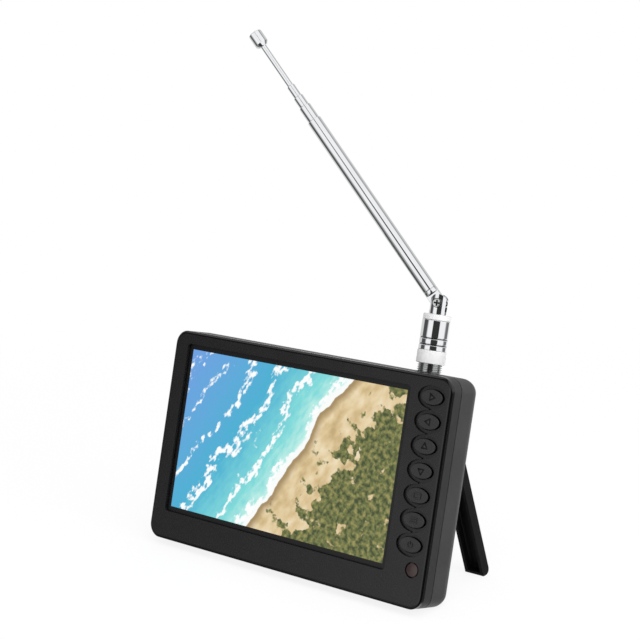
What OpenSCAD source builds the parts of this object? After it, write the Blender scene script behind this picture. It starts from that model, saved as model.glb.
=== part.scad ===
// Portable television: a hand-sized flat-screen set that leans back on a fold-out leg,
// with a column of oval keys beside the screen and a telescopic aerial on its top edge.
// Pieces are drawn in the case's own frame: x across, y from the front face to the back,
// z up the case from its bottom edge. standing() then leans the set back onto its leg,
// with the origin in the middle of the land that the case stands on. Sizes in mm.

/* [Case] */
// Width of the case
case_w = 137.4; // [134:0.1:144]
// Height of the case
case_h = 85.5; // [84.5:0.1:92]
// Depth of the case, front face to back face
case_d = 21.3; // [20.5:0.1:26]
// Corner radius of the case outline
corner_r = 5.5; // [4:0.1:7]
// Roll of the front edge
front_edge_r = 1.4; // [0.8:0.1:2]
// Roll of the rear edge
rear_edge_r = 7.5; // [5:0.1:8]
// Wall thickness of both shells
wall = 1.8; // [1.4:0.1:2]
// Depth of the front frame, front face to seam
seam_y = 6.35; // [6.2:0.05:7]
// Width and depth of the dark groove at the seam
groove = 0.4; // [0.2:0.05:0.6]
// Lean of the case when it stands on its leg, degrees
tilt = 14.2; // [8:0.1:18]
// Depth of the flat that the rear bottom edge stands on
land_cut = 0.2; // [0.1:0.05:0.4]

/* [Screen] */
// Picture's left edge, from the left side of the case
screen_left = 9.2; // [9.1:0.1:14]
// Picture's right edge, from the right side of the case
screen_right = 20.2; // [20.1:0.1:26]
// Picture's top edge, from the top of the case
screen_top = 7.1; // [6:0.1:12]
// Picture's bottom edge, from the bottom of the case
screen_low = 13.6; // [13.4:0.1:18]
// Black border between picture and frame
screen_border = 2.1; // [1.5:0.1:2.5]
// Depth of the screen behind the front face
screen_recess = 1.3; // [1.1:0.1:1.5]
// Margin of the display module beyond the picture, left
panel_left = 7.05; // [5:0.05:7.1]
// Margin of the display module beyond the picture, right
panel_right = 5.2; // [4:0.05:5.25]
// Margin of the display module beyond the picture, top
panel_top = 4; // [3.5:0.1:4.8]
// Margin of the display module beyond the picture, bottom
panel_low = 7; // [5:0.1:7.2]
// Thickness of the glass cell
glass_t = 1.2; // [0.8:0.1:1.3]
// Thickness of the backlight
backlight_t = 1.8; // [1.4:0.1:1.9]
// Thickness of the foam gasket in front of the glass
gasket_t = 0.3; // [0.2:0.1:0.4]

/* [Keys] */
// Middle of the key column, from the right side of the case
key_edge = 8.35; // [8.2:0.05:8.5]
// Middle of the top key, from the top of the case
key_top = 8; // [7.5:0.1:10]
// Middle of the lowest key, from the bottom of the case
key_low = 23.14; // [22.9:0.02:26]
// Width of a key cap
key_w = 9.4; // [8.4:0.1:9.6]
// Space between one key cap and the next
key_space = 3.46; // [3.3:0.02:4]
// How far a cap stands out of the front face
key_proud = 0.1; // [0.05:0.05:0.5]
// Travel of a key
key_travel = 0.5; // [0.3:0.05:0.6]
// Gap round a cap
key_gap = 0.3; // [0.25:0.05:0.35]
// Margin of the sunken chain round each cap
chain_margin = 1.55; // [1.3:0.05:1.6]
// Depth of the sunken chain
chain_depth = 0.9; // [0.6:0.05:0.9]
// Width of the necks between the chain's links
chain_neck = 1.2; // [0.8:0.1:2]

/* [Infrared window] */
// Diameter of the window
window_d = 5.7; // [5:0.1:6]
// Middle of the window, from the right side of the case
window_edge = 6; // [5.9:0.1:6.7]
// Middle of the window, from the bottom of the case
window_z = 14.3; // [13.5:0.1:15]

/* [Leg] */
// Middle of the leg, from the right side of the case
leg_edge = 10.8; // [10.4:0.1:11.7]
// Width of the leg
leg_w = 8.5; // [7:0.1:9.4]
// Thickness of the leg
leg_t = 4.2; // [3.8:0.1:4.4]
// Wall thickness of the leg's channel
leg_wall = 1.3; // [1:0.1:1.5]
// Leg's pivot, from the top of the case
pivot_top = 25; // [23.5:0.1:27.5]
// Opening angle of the leg, degrees
leg_open = 33.9; // [30:0.1:38]
// Length of the heel that stops the leg
heel = 3; // [2.6:0.1:3.2]
// Rounding of the heel side of the leg's foot
foot_r = 2.2; // [1:0.1:3]
// Diameter of the leg's pin
leg_pin_d = 1.6; // [1.4:0.1:2]

/* [Aerial] */
// Middle of the aerial socket, from the right side of the case
aerial_edge = 19.1; // [18.7:0.1:19.7]
// Depth of the aerial socket behind the front face
aerial_y = 11.6; // [11.5:0.1:12]
// Diameter of the threaded stub
stub_d = 9.4; // [9:0.1:9.5]
// Length of thread that shows above the case
stub_show = 3.5; // [2:0.1:5]
// Diameter of the lower insulator
lower_ring_d = 10.9; // [10.7:0.1:11.5]
// Height of the lower insulator
lower_ring_h = 4.9; // [3:0.1:7]
// Diameter of the sleeve
sleeve_d = 10.6; // [10.4:0.1:11.2]
// Height of the sleeve
sleeve_h = 11.4; // [10:0.1:14]
// Diameter of the upper insulator
upper_ring_d = 10.4; // [9.5:0.1:11]
// Height of the upper insulator
upper_ring_h = 2.1; // [1.5:0.1:3]
// Diameter of the fork
fork_d = 6.7; // [6.5:0.1:7.4]
// Height of the knuckle above the upper insulator
knuckle_h = 4.3; // [4.2:0.1:6]
// Turn of the knuckle about the socket, degrees
knuckle_turn = 20; // [0:1:90]
// Tilt of the mast from upright, degrees
mast_tilt = 43.6; // [30:0.1:60]
// Outer diameter of the lowest mast tube
mast_d = 5.5; // [5.3:0.1:5.6]
// Wall of a mast tube
mast_wall = 0.3; // [0.25:0.01:0.32]
// Sliding gap between mast tubes
mast_gap = 0.1; // [0.06:0.01:0.1]
// Length of the lowest tube
mast_tube_l = 79.8; // [75:0.1:90]
// Length that each section is shorter than the one round it
mast_step_l = 4; // [3:0.1:5]
// Length of the second tube that shows
show_2 = 6.7; // [4:0.1:10]
// Length of the third tube that shows
show_3 = 4.6; // [3:0.1:10]
// Length of the fourth tube that shows
show_4 = 5.4; // [4:0.1:10]
// Length of the rod that shows
show_rod = 19.4; // [10:0.1:22]
// Diameter of the tip
tip_d = 5.4; // [5:0.1:6]
// Length of the tip
tip_l = 6.3; // [5:0.1:8]

/* [Inside] */
// Main board's left edge, from the inside of the case
board_left = 2.9; // [2:0.1:5]
// Main board's right edge, from the inside of the case
board_right = 28.9; // [27:0.1:34]
// Main board's bottom edge, from the bottom of the case
board_low = 18.2; // [16:0.1:22]
// Thickness of the main board
board_t = 1.2; // [1:0.1:1.6]
// Thickness of the key board
key_board_t = 1; // [0.8:0.1:1.2]
// Diameter of the speaker
speaker_d = 28; // [26:0.5:29]
// Thickness of the speaker
speaker_t = 4.8; // [4:0.1:5]
// Width of the battery
battery_w = 50; // [46:0.5:51]
// Height of the battery
battery_h = 34; // [30:0.5:35]
// Thickness of the battery
battery_t = 5.2; // [4.5:0.1:5.6]
// Diameter of the case screws
case_screw_d = 2; // [1.8:0.1:2.2]
// Diameter of the board screws
board_screw_d = 1.8; // [1.6:0.1:2]
// Diameter of the earphone socket's bore
earphone_d = 3.6; // [3.5:0.05:3.7]
// Diameter of the power socket's bore
power_d = 3.8; // [3.6:0.05:4]

/* [Hidden] */
$fn = 48;
eps = 0.01;
past = 2;
loose = 0.3;
snug = 0.1;
run = 0.05;
KEY_NAMES = ["button_right", "button_left", "button_up", "button_down",
             "button_source", "button_menu", "button_power"];

// Case levels
front_wall = 2;
pilot_floor = 0.8;
mid_z = case_h / 2;
inner_w = case_w - 2 * wall;
inner_h = case_h - 2 * wall;
back_in = case_d - wall;
roll_y = case_d - rear_edge_r;
roll_z = rear_edge_r;

// Display stack, from the gasket back
screen_w = case_w - screen_left - screen_right;
screen_h = case_h - screen_top - screen_low;
screen_x = (screen_left - screen_right) / 2;
screen_z = screen_low + screen_h / 2;
opening_w = screen_w + 2 * screen_border;
opening_h = screen_h + 2 * screen_border;
opening_r = 1.5;
panel_w = screen_w + panel_left + panel_right;
panel_h = screen_h + panel_top + panel_low;
panel_x = screen_x + (panel_right - panel_left) / 2;
panel_z = screen_z + (panel_top - panel_low) / 2;
seat_gap = 0.2;
gasket_show = 0.2;
glass_y = screen_recess;
backlight_y = glass_y + glass_t;
panel_back = backlight_y + backlight_t;
cell_margin = 0.5;

// Keys: cap, flange behind the wall, plunger, switch and board
key_count = len(KEY_NAMES);
key_x = case_w / 2 - key_edge;
key_top_z = case_h - key_top;
key_pitch = (key_top_z - key_low) / (key_count - 1);
key_h = key_pitch - key_space;
flange_lap = 0.3;
flange_margin = key_gap + flange_lap;
flange_t = 0.8;
flange_y = front_wall + snug;
plunger_d = 2.4;
switch_w = 4;
switch_h = 3;
switch_t = 1.2;
actuator_d = 1.8;
actuator_t = 0.3;
key_clear = 0.05;
plunger_l = 0.6;
plunger_y = flange_y + flange_t + plunger_l;
switch_y = plunger_y + key_clear + key_travel + actuator_t;
key_board_y = switch_y + switch_t;
key_board_w = 10.8;
key_board_gap = 0.4;
key_board_x = case_w / 2 - wall - key_board_gap - key_board_w / 2;
key_board_top = key_top_z + switch_h / 2;
key_board_rim = 3.5;
key_post_r = 1.5;
key_post_x = case_w / 2 - wall - key_post_r;
key_screw_r = 0.7;
key_screw_head_r = 1.25;
key_screw_head_t = 0.7;
key_screw_z = [for (i = [0, key_count - 2]) key_top_z - (i + 0.5) * key_pitch];

// Rim behind the infrared window, and the receiver on the key board behind it
window_rim = 0.9;
window_rim_t = 0.8;
receiver_w = 5;
receiver_h = 5.6;
receiver_t = 2.4;
window_x = case_w / 2 - window_edge;
key_board_low = window_z - receiver_h / 2 - key_board_rim;

// Boards and what stands on them
ribbon_t = 0.3;
board_space = 0.8;
board_edge = 1;
socket_body_w = 11;
socket_body_d = 10.4;
socket_body_h = 9;
socket_low = case_h - wall - socket_body_h;
board_under = 0.5;
board_w = inner_w - board_left - board_right;
board_h = socket_low - board_under - board_low;
board_x = (board_left - board_right) / 2;
board_z = board_low + board_h / 2;
board_y = key_board_y + key_board_t + ribbon_t + board_space;
board_back = board_y + board_t;
board_inset = 4;
board_posts = [for (sx = [-1, 1], sz = [-1, 1])
    [board_x + sx * (board_w / 2 - board_inset), board_z + sz * (board_h / 2 - board_inset)]];
post_r = 2.2;
post_grip = 6;
screw_clear = 0.15;
board_screw_head_t = 1;
screw_short = 0.5;
tuner_w = 32;
tuner_h = 16;
tuner_t = 3.6;
tuner_edge = 10;
tuner_x = board_x + board_w / 2 - tuner_edge - tuner_w / 2;
tuner_z = board_z + board_h / 2 - tuner_h / 2 - board_edge;
chip_drop = 3;
chip_w = 14;
chip_t = 1.4;
chip_shift = 26;
chip_x = board_x + chip_shift;
chip_z = tuner_z - tuner_h / 2 - chip_drop - chip_w / 2;
speaker_left = 30.7;
speaker_top = 27.5;
speaker_x = speaker_left - case_w / 2;
speaker_z = case_h - speaker_top;
speaker_y = back_in - speaker_t;
speaker_rim = 1.2;
speaker_edge = 2;
cone_depth = 1.4;
grille_hole_d = 1.9;
grille_pitch = 3.4;
battery_space = 4.8;
battery_low = 8;
battery_x = board_x + board_w / 2 - board_inset - post_r - battery_space - battery_w / 2;
battery_z = battery_low + battery_h / 2;
battery_y = back_in - battery_t;
speaker_lead_drop = 6;
speaker_lead_l = 10;
battery_lead_x = -5;
battery_lead_l = 5;
lead_r = 0.8;
ribbon_w = 20;
ribbon_tab = 4;
panel_tab = 3;
board_tab = 6;
key_ribbon_h = 8;

// Side sockets, along the left wall
side_x = -case_w / 2;
socket_l = 12;
socket_half = 2.7;
socket_y = board_back + socket_half;
inner_roll = rear_edge_r - wall;
socket_past = max(0, socket_y + socket_half - roll_y);
socket_x = side_x + wall + inner_roll - sqrt(inner_roll ^ 2 - socket_past ^ 2);
socket_w = 6;
socket_nose_d = 4.6;
socket_back = 2;
power_pin_r = 0.65;
power_pin_sink = 1;
card_w = 13;
card_t = 1.9;
socket_space = (board_h - 2 * board_inset - 2 * post_r - 2 * socket_w - card_w) / 4;
earphone_z = board_low + board_inset + post_r + socket_space + socket_w / 2;
power_z = earphone_z + socket_w + socket_space;
card_z = power_z + socket_w / 2 + socket_space + card_w / 2;
card_back = 1;
card_slot_w = 11.4;
card_slot_t = 1.1;
card_slot_y = board_back + card_t / 2;

// Case screws: the bosses stand under and over the display
boss_r = 2.2;
boss_wall = 0.6;
boss_merge = 0.1;
screw_tip_gap = 0.4;
boss_step = 2.8;
screw_sink = 6.3;
boss_end = roll_y - boss_step;
screw_seat = case_d - screw_sink;
screw_head_r = 1.9;
screw_head_t = 1.2;
low_boss_z = wall + boss_r - boss_merge;
high_boss_z = case_h - low_boss_z;
low_boss_inset = 24.7;
low_boss_x = case_w / 2 - low_boss_inset;
high_boss_inset = 6.7;
high_boss_x = case_w / 2 - high_boss_inset;
high_boss_y = panel_back + loose + snug;
case_bosses = [[-low_boss_x, low_boss_z, front_wall], [low_boss_x, low_boss_z, front_wall],
               [-high_boss_x, high_boss_z, high_boss_y], [high_boss_x, high_boss_z, high_boss_y]];

// Leg and its pocket
leg_gap = 0.4;
leg_sink = 0.1;
leg_x = case_w / 2 - leg_edge;
pivot_z = case_h - pivot_top;
pivot_y = case_d - leg_sink - leg_t / 2;
pocket_w = leg_w + 2 * leg_gap;
pocket_floor = pivot_y - leg_t / 2 - loose;
pocket_wall = 1.5;
stop_gap = 0.05;
stop_floor = pivot_y - leg_t / 2 * cos(leg_open) - heel * sin(leg_open) - stop_gap;
head_sweep = norm([leg_t / 2, heel]) + loose;
pocket_top = pivot_z + head_sweep;
stop_low = pivot_z - head_sweep;
pin_bite = 1.1;

// Distance from the pivot to the floor along the leg, on a line h behind its middle
function leg_reach(h) =
    (rear_edge_r - land_cut - sin(tilt) * (pivot_y + h * cos(leg_open) - roll_y)
     + cos(tilt) * (pivot_z + h * sin(leg_open) - roll_z)) / cos(leg_open - tilt);

// Middle of the foot's rounding, which runs into the sole: behind the leg's middle, and down it
foot_h = leg_t / 2 - foot_r;
foot_s = leg_reach(foot_h) - foot_r / cos(leg_open - tilt);

// Aerial levels, up the socket's axis from the bottom of the case
aerial_x = case_w / 2 - aerial_edge;
stub_r = stub_d / 2;
stub_wall = 1.2;
stub_floor = 3;
socket_rear = max(0, aerial_y + socket_body_d / 2 - roll_y);
socket_top = case_h - wall - inner_roll + sqrt(inner_roll ^ 2 - socket_rear ^ 2);
ring_z = case_h + stub_show;
sleeve_z = ring_z + lower_ring_h;
upper_z = sleeve_z + sleeve_h;
fork_z = upper_z + upper_ring_h;
knuckle_z = fork_z + knuckle_h;
stub_grip = 3;
stub_top = sleeve_z + stub_grip;
cavity_h = 6.2;
cavity_top = sleeve_z + cavity_h;
groove_low = 1.9;
groove_high = 4.3;
groove_h = 0.3;
groove_d = 0.15;
stem_r = 2;
rivet_r = 3.2;
rivet_t = 1;
rivet_gap = 0.2;
fork_gap = 0.1;
fork_r = fork_d / 2;
fork_slot = 2.8;
eye_gap = 0.1;
eye_inset = 0.1;
fork_flat = 2.9;
fork_floor = knuckle_z - eye_r() - loose;
knuckle_r = 1;
knuckle_head_r = 1.8;
knuckle_head_t = 0.9;
eye_t = fork_slot - 2 * eye_gap;
collar_gap = 0.9;
collar_s = fork_r + collar_gap;
function eye_r() = mast_d / 2 - eye_inset;

// Mast sections, along the mast from the knuckle
mast_foot = 6;
plug_l = 5;
function tube_r(i) = mast_d / 2 - (i - 1) * (mast_wall + mast_gap);
function tube_l(i) = mast_tube_l - (i - 1) * mast_step_l;
shows = [0, show_2, show_3, show_4, show_rod];
function tube_top(i) = i == 1 ? mast_foot + mast_tube_l : tube_top(i - 1) + shows[i - 1];
rod_i = len(shows);
rod_r = tube_r(rod_i);
rod_l = tube_l(rod_i) - mast_step_l / 2;
rod_top = tube_top(rod_i);
tip_grip = 3.5;
tip_chamfer = 1.1;
tip_edge = 0.3;

// Leans the set back onto its leg, with the floor at z = 0
module standing() {
    translate([0, -roll_y * cos(tilt) - roll_z * sin(tilt),
               roll_y * sin(tilt) - roll_z * cos(tilt) + rear_edge_r - land_cut])
        rotate([-tilt, 0, 0]) children();
}

// Puts its children at the knuckle, x along the hinge's screw, z along the leaning mast
module at_knuckle(lean) {
    translate([aerial_x, aerial_y, knuckle_z])
        rotate([0, 0, knuckle_turn - 90]) rotate([lean, 0, 0]) children();
}

// Extrudes a flat shape drawn in x and z from depth y0 to y1
module plate(y0, y1) {
    translate([0, y1, 0]) rotate([90, 0, 0]) linear_extrude(y1 - y0) children();
}

// A round bar along y
module bar(x, z, y0, y1, r) {
    translate([x, y0, z]) rotate([-90, 0, 0]) cylinder(h = y1 - y0, r = r);
}

// A block from its middle in x and z and its depths
module block(x, z, w, h, y0, y1) {
    translate([x - w / 2, y0, z - h / 2]) cube([w, y1 - y0, h]);
}

module rounded(w, h, r) {
    square([w - 2 * r, h], center = true);
    square([w, h - 2 * r], center = true);
    for (sx = [-1, 1], sz = [-1, 1])
        translate([sx * (w / 2 - r), sz * (h / 2 - r)]) circle(r);
}

module oval(w, h) {
    steps = 36;
    polygon([for (i = [0:steps - 1]) [w / 2 * cos(360 * i / steps), h / 2 * sin(360 * i / steps)]]);
}

// Section of a slab of width w whose far edges are rolled with radius r
module rolled_section(w, d, r) {
    translate([-w / 2, 0]) square([w, d - r]);
    translate([r - w / 2, 0]) square([w - 2 * r, d]);
    for (s = [-1, 1]) translate([s * (w / 2 - r), d - r]) circle(r);
}

// Half section of its corner of radius c
module corner_section(c, d, r) {
    intersection() {
        square([c, d]);
        union() {
            square([c, d - r]);
            if (c > r) square([c - r, d]);
            translate([c - r, d - r]) circle(r);
        }
    }
}

// Rounded slab from y = 0 to d, its outline corners c, its far edge rolled with radius r
module rolled_slab(w, h, d, c, r) {
    intersection() {
        linear_extrude(h, center = true) rolled_section(w, d, r);
        rotate([0, -90, 0]) linear_extrude(w, center = true) rolled_section(h, d, r);
        plate(0, d) {
            square([w - 2 * c, h], center = true);
            square([w, h - 2 * c], center = true);
        }
    }
    for (sx = [-1, 1], sz = [-1, 1])
        translate([sx * (w / 2 - c), 0, sz * (h / 2 - c)])
            rotate([-90, 0, 0]) rotate_extrude() corner_section(c, d, r);
}

// Lead with one square bend: along first, then along second
module bent_lead(start, first, second) {
    module run_of(from, way) {
        turn = way.x != 0 ? [0, 90, 0] : way.y != 0 ? [-90, 0, 0] : [0, 0, 0];
        low = [min(from.x, from.x + way.x), min(from.y, from.y + way.y), min(from.z, from.z + way.z)];
        translate(low) rotate(turn) cylinder(h = norm(way), r = lead_r);
    }
    run_of(start, first);
    translate(start + first) sphere(lead_r);
    run_of(start + first, second);
}

module for_keys() {
    for (i = [0:key_count - 1]) translate([key_x, 0, key_top_z - i * key_pitch]) children();
}

module key_chain() {
    for (i = [0:key_count - 1]) translate([key_x, key_top_z - i * key_pitch])
        oval(key_w + 2 * chain_margin, key_h + 2 * chain_margin);
    translate([key_x - chain_neck / 2, key_top_z - (key_count - 1) * key_pitch])
        square([chain_neck, (key_count - 1) * key_pitch]);
}

module front_frame() color("#2b2b2d") standing() {
    difference() {
        translate([0, seam_y, mid_z]) mirror([0, 1, 0])
            rolled_slab(case_w, case_h, seam_y, corner_r, front_edge_r);
        translate([0, 0, mid_z]) plate(front_wall, seam_y + past)
            rounded(inner_w, inner_h, corner_r - wall);
        translate([screen_x, 0, screen_z]) plate(-past, front_wall + past)
            rounded(opening_w, opening_h, opening_r);
        block(panel_x, panel_z, panel_w + 2 * seat_gap, panel_h + 2 * seat_gap,
              screen_recess - gasket_t, front_wall + past);
        plate(-past, chain_depth) key_chain();
        for_keys() plate(-past, front_wall + past) oval(key_w + 2 * key_gap, key_h + 2 * key_gap);
        bar(window_x, window_z, -past, front_wall + past, window_d / 2 + snug);
    }
    difference() {
        union() {
            for (b = case_bosses) {
                bar(b.x, b.y, b.z, boss_end, boss_r);
                rib = sign(b.y - mid_z) * boss_r / 2;
                block(b.x, b.y + rib, boss_r, boss_r, b.z, seam_y);
            }
            for (z = key_screw_z) {
                bar(key_post_x, z, front_wall - eps, key_board_y, key_post_r);
                block(key_post_x + key_post_r / 2, z, key_post_r, key_post_r,
                      front_wall - eps, key_board_y);
            }
        }
        for (b = case_bosses) bar(b.x, b.y, b.z + pilot_floor, boss_end + past, case_screw_d / 2);
        for (z = key_screw_z) bar(key_post_x, z, front_wall + pilot_floor, key_board_y + past, key_screw_r);
    }
}

module rear_shape() {
    difference() {
        translate([0, seam_y, mid_z])
            rolled_slab(case_w, case_h, case_d - seam_y, corner_r, rear_edge_r);
        translate([0, 0, mid_z]) plate(seam_y - past, seam_y + groove) difference() {
            square([case_w + past, case_h + past], center = true);
            rounded(case_w - 2 * groove, case_h - 2 * groove, corner_r - groove);
        }
        translate([0, seam_y - past, mid_z])
            rolled_slab(inner_w, inner_h, back_in - seam_y + past, corner_r - wall, rear_edge_r - wall);
    }
}

module leg_pocket(grow) {
    block(leg_x, pivot_z / 2, pocket_w + 2 * grow, pivot_z, pocket_floor - grow, case_d + past);
    block(leg_x, (stop_low + pocket_top) / 2, pocket_w + 2 * grow, pocket_top - stop_low + 2 * grow,
          stop_floor - grow, case_d + past);
}

module grille() {
    reach = speaker_d / 2 - speaker_edge;
    rows = floor(reach / grille_pitch);
    for (i = [-rows:rows], j = [-rows:rows])
        if (norm([i, j]) * grille_pitch < reach)
            bar(speaker_x + i * grille_pitch, speaker_z + j * grille_pitch,
                back_in - past, case_d + past, grille_hole_d / 2);
}

module rear_cover() color("#303032") difference() {
    standing() difference() {
        union() {
            rear_shape();
            intersection() {
                leg_pocket(pocket_wall);
                translate([0, seam_y, mid_z])
                    rolled_slab(case_w, case_h, case_d - seam_y, corner_r, rear_edge_r);
            }
            for (b = case_bosses) bar(b.x, b.y, boss_end, roll_y + wall, boss_r + boss_wall);
            for (p = board_posts) bar(p.x, p.y, board_back, back_in + eps, post_r);
            difference() {
                bar(speaker_x, speaker_z, speaker_y + speaker_rim, back_in + eps,
                    speaker_d / 2 + seat_gap + speaker_rim);
                bar(speaker_x, speaker_z, speaker_y, case_d, speaker_d / 2 + seat_gap);
            }
        }
        leg_pocket(0);
        translate([leg_x - pocket_w / 2 - pin_bite, pivot_y, pivot_z]) rotate([0, 90, 0])
            cylinder(h = pocket_w + 2 * pin_bite, r = leg_pin_d / 2);
        for (b = case_bosses) {
            bar(b.x, b.y, boss_end - past, case_d + past, case_screw_d / 2 + screw_clear);
            bar(b.x, b.y, screw_seat, case_d + past, screw_head_r + loose);
        }
        for (p = board_posts) bar(p.x, p.y, board_back - past, board_back + post_grip, board_screw_d / 2);
        grille();
        translate([aerial_x, aerial_y, socket_low])
            cylinder(h = case_h - socket_low + past, r = stub_r + snug);
        for (z = [earphone_z, power_z]) translate([side_x - past, socket_y, z]) rotate([0, 90, 0])
            cylinder(h = wall + 2 * past, r = socket_nose_d / 2 + snug);
        translate([side_x, card_slot_y, card_z])
            cube([2 * wall + snug, card_slot_t + 2 * seat_gap, card_slot_w + 2 * seat_gap], center = true);
    }
    translate([-case_w, -case_d, -past]) cube([2 * case_w, 2 * case_d, past]);
}

module panel_gasket() color("#161616") standing() difference() {
    block(panel_x, panel_z, panel_w - cell_margin, panel_h - cell_margin, glass_y - gasket_t, glass_y);
    translate([screen_x, 0, screen_z]) plate(glass_y - past, glass_y + past)
        rounded(opening_w + 2 * gasket_show, opening_h + 2 * gasket_show, opening_r);
}

module lcd_panel() color("#20262b") standing()
    block(panel_x, panel_z, panel_w - cell_margin, panel_h - cell_margin, glass_y, backlight_y);

module backlight_unit() color("#c9ccd0") standing()
    block(panel_x, panel_z, panel_w, panel_h, backlight_y, panel_back);

module display_ribbon() color("#c98a2e") standing() {
    low = panel_z - panel_h / 2 + panel_tab;
    high = board_z - board_h / 2 + board_tab;
    front = board_y - ribbon_t;
    back = panel_back + ribbon_t;
    translate([board_x - ribbon_w / 2, 0, 0]) rotate([90, 0, 90]) linear_extrude(ribbon_w)
        polygon([[panel_back, low], [back, low], [back, low + ribbon_tab], [board_y, high],
                 [board_y, high + ribbon_tab], [front, high + ribbon_tab], [front, high],
                 [panel_back, low + ribbon_tab + 2 * ribbon_t]]);
}

module main_board() color("#1f5a37") standing() difference() {
    block(board_x, board_z, board_w, board_h, board_y, board_back);
    for (p = board_posts) bar(p.x, p.y, board_y - past, board_back + past, board_screw_d / 2 + screw_clear);
}

module main_chip() color("#1b1b1b") standing()
    block(chip_x, chip_z, chip_w, chip_w, board_back, board_back + chip_t);

module tuner_can() color("#bfc3c6") standing()
    block(tuner_x, tuner_z, tuner_w, tuner_h, board_back, board_back + tuner_t);

module key_board() color("#1f5a37") standing() difference() {
    block(key_board_x, (key_board_top + key_board_low) / 2, key_board_w, key_board_top - key_board_low,
          key_board_y, key_board_y + key_board_t);
    for (z = key_screw_z) bar(key_post_x, z, key_board_y - past, key_board_y + past, key_screw_r + snug);
}

module key_switches() color("#d0d0d0") standing() for_keys() {
    block(0, 0, switch_w, switch_h, switch_y, key_board_y);
    bar(0, 0, switch_y - actuator_t, switch_y + eps, actuator_d / 2);
}

module key_ribbon() color("#e8e8e4") standing() {
    edge = board_x + board_w / 2;
    left = edge - ribbon_tab;
    right = key_board_x - key_board_w / 2 + ribbon_tab;
    front = board_y - ribbon_t;
    back = key_board_y + key_board_t;
    translate([0, 0, board_z]) linear_extrude(key_ribbon_h, center = true)
        polygon([[left, board_y], [left, front], [edge, front], [right - ribbon_tab, back],
                 [right, back], [right, back + ribbon_t], [right - ribbon_tab, back + ribbon_t],
                 [edge, board_y]]);
}

module infrared_window() color("#4a1c18") standing() {
    bar(window_x, window_z, 0, front_wall + eps, window_d / 2);
    bar(window_x, window_z, front_wall, front_wall + window_rim_t, window_d / 2 + window_rim);
}

module infrared_receiver() color("#151515") standing()
    block(window_x, window_z, receiver_w, receiver_h, key_board_y - receiver_t, key_board_y);

module speaker() color("#3a3a3c") standing() difference() {
    bar(speaker_x, speaker_z, speaker_y, back_in, speaker_d / 2);
    bar(speaker_x, speaker_z, back_in - cone_depth, back_in + past, speaker_d / 2 - speaker_edge);
}

module speaker_lead() color("#a02a22") standing()
    bent_lead([speaker_x, speaker_y - lead_r, speaker_z - speaker_lead_drop], [0, 0, -speaker_lead_l],
              [0, board_back - speaker_y + lead_r, 0]);

module battery_pack() color("#aeb3b8") standing()
    block(battery_x, battery_z, battery_w, battery_h, battery_y, back_in);

module battery_lead() color("#a02a22") standing()
    bent_lead([battery_x + battery_lead_x, battery_y + battery_t / 2, battery_z + battery_h / 2],
              [0, 0, battery_lead_l], [0, board_back - battery_y - battery_t / 2, 0]);

module aerial_socket() color("#c6c9cc") standing() translate([aerial_x, aerial_y, 0]) difference() {
    union() {
        translate([-socket_body_w / 2, -socket_body_d / 2, socket_low])
            cube([socket_body_w, socket_body_d, socket_top - socket_low]);
        translate([0, 0, socket_low]) cylinder(h = stub_top - socket_low, r = stub_r);
    }
    translate([0, 0, socket_low + stub_floor]) cylinder(h = stub_top - socket_low, r = stub_r - stub_wall);
}

module aerial_lead() color("#222222") standing()
    bent_lead([aerial_x, board_back + tuner_t / 2, socket_low], [0, 0, tuner_z - socket_low],
              [tuner_x + tuner_w / 2 - aerial_x, 0, 0]);

module jack(z, bore_d) {
    difference() {
        union() {
            translate([socket_x, board_back, z - socket_w / 2]) cube([socket_l, 2 * socket_half, socket_w]);
            translate([side_x, socket_y, z]) rotate([0, 90, 0])
                cylinder(h = socket_x - side_x + eps, r = socket_nose_d / 2);
        }
        translate([side_x - past, socket_y, z]) rotate([0, 90, 0])
            cylinder(h = socket_x + socket_l - socket_back - side_x + past, r = bore_d / 2);
    }
}

module earphone_socket() color("#181818") standing() jack(earphone_z, earphone_d);

module power_socket() color("#181818") standing() {
    jack(power_z, power_d);
    translate([side_x + wall, socket_y, power_z]) rotate([0, 90, 0])
        cylinder(h = socket_x + socket_l - power_pin_sink - side_x - wall, r = power_pin_r);
}

module card_socket() color("#b9bdc0") standing() difference() {
    translate([side_x + wall, board_back, card_z - card_w / 2]) cube([socket_l, card_t, card_w]);
    translate([side_x, card_slot_y - card_slot_t / 2, card_z - card_slot_w / 2])
        cube([wall + socket_l - card_back, card_slot_t, card_slot_w]);
}

module case_screws() color("#8d9093") standing() for (b = case_bosses) {
    bar(b.x, b.y, screw_seat, screw_seat + screw_head_t, screw_head_r);
    bar(b.x, b.y, b.z + pilot_floor + screw_tip_gap, screw_seat + eps, case_screw_d / 2);
}

module board_screws() color("#8d9093") standing() for (p = board_posts) {
    bar(p.x, p.y, board_y - board_screw_head_t, board_y, board_screw_d);
    bar(p.x, p.y, board_y - eps, board_back + post_grip - screw_short, board_screw_d / 2);
}

module key_board_screws() color("#8d9093") standing() for (z = key_screw_z) {
    back = key_board_y + key_board_t;
    bar(key_post_x, z, back, back + key_screw_head_t, key_screw_head_r);
    bar(key_post_x, z, front_wall + pilot_floor + screw_tip_gap, back + eps, key_screw_r);
}

module key_cap(i) {
    translate([key_x, 0, key_top_z - i * key_pitch]) {
        plate(-key_proud, flange_y + eps) oval(key_w, key_h);
        plate(flange_y, flange_y + flange_t) oval(key_w + 2 * flange_margin, key_h + 2 * flange_margin);
        bar(0, 0, flange_y + flange_t - eps, plunger_y, plunger_d / 2);
    }
}

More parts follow.
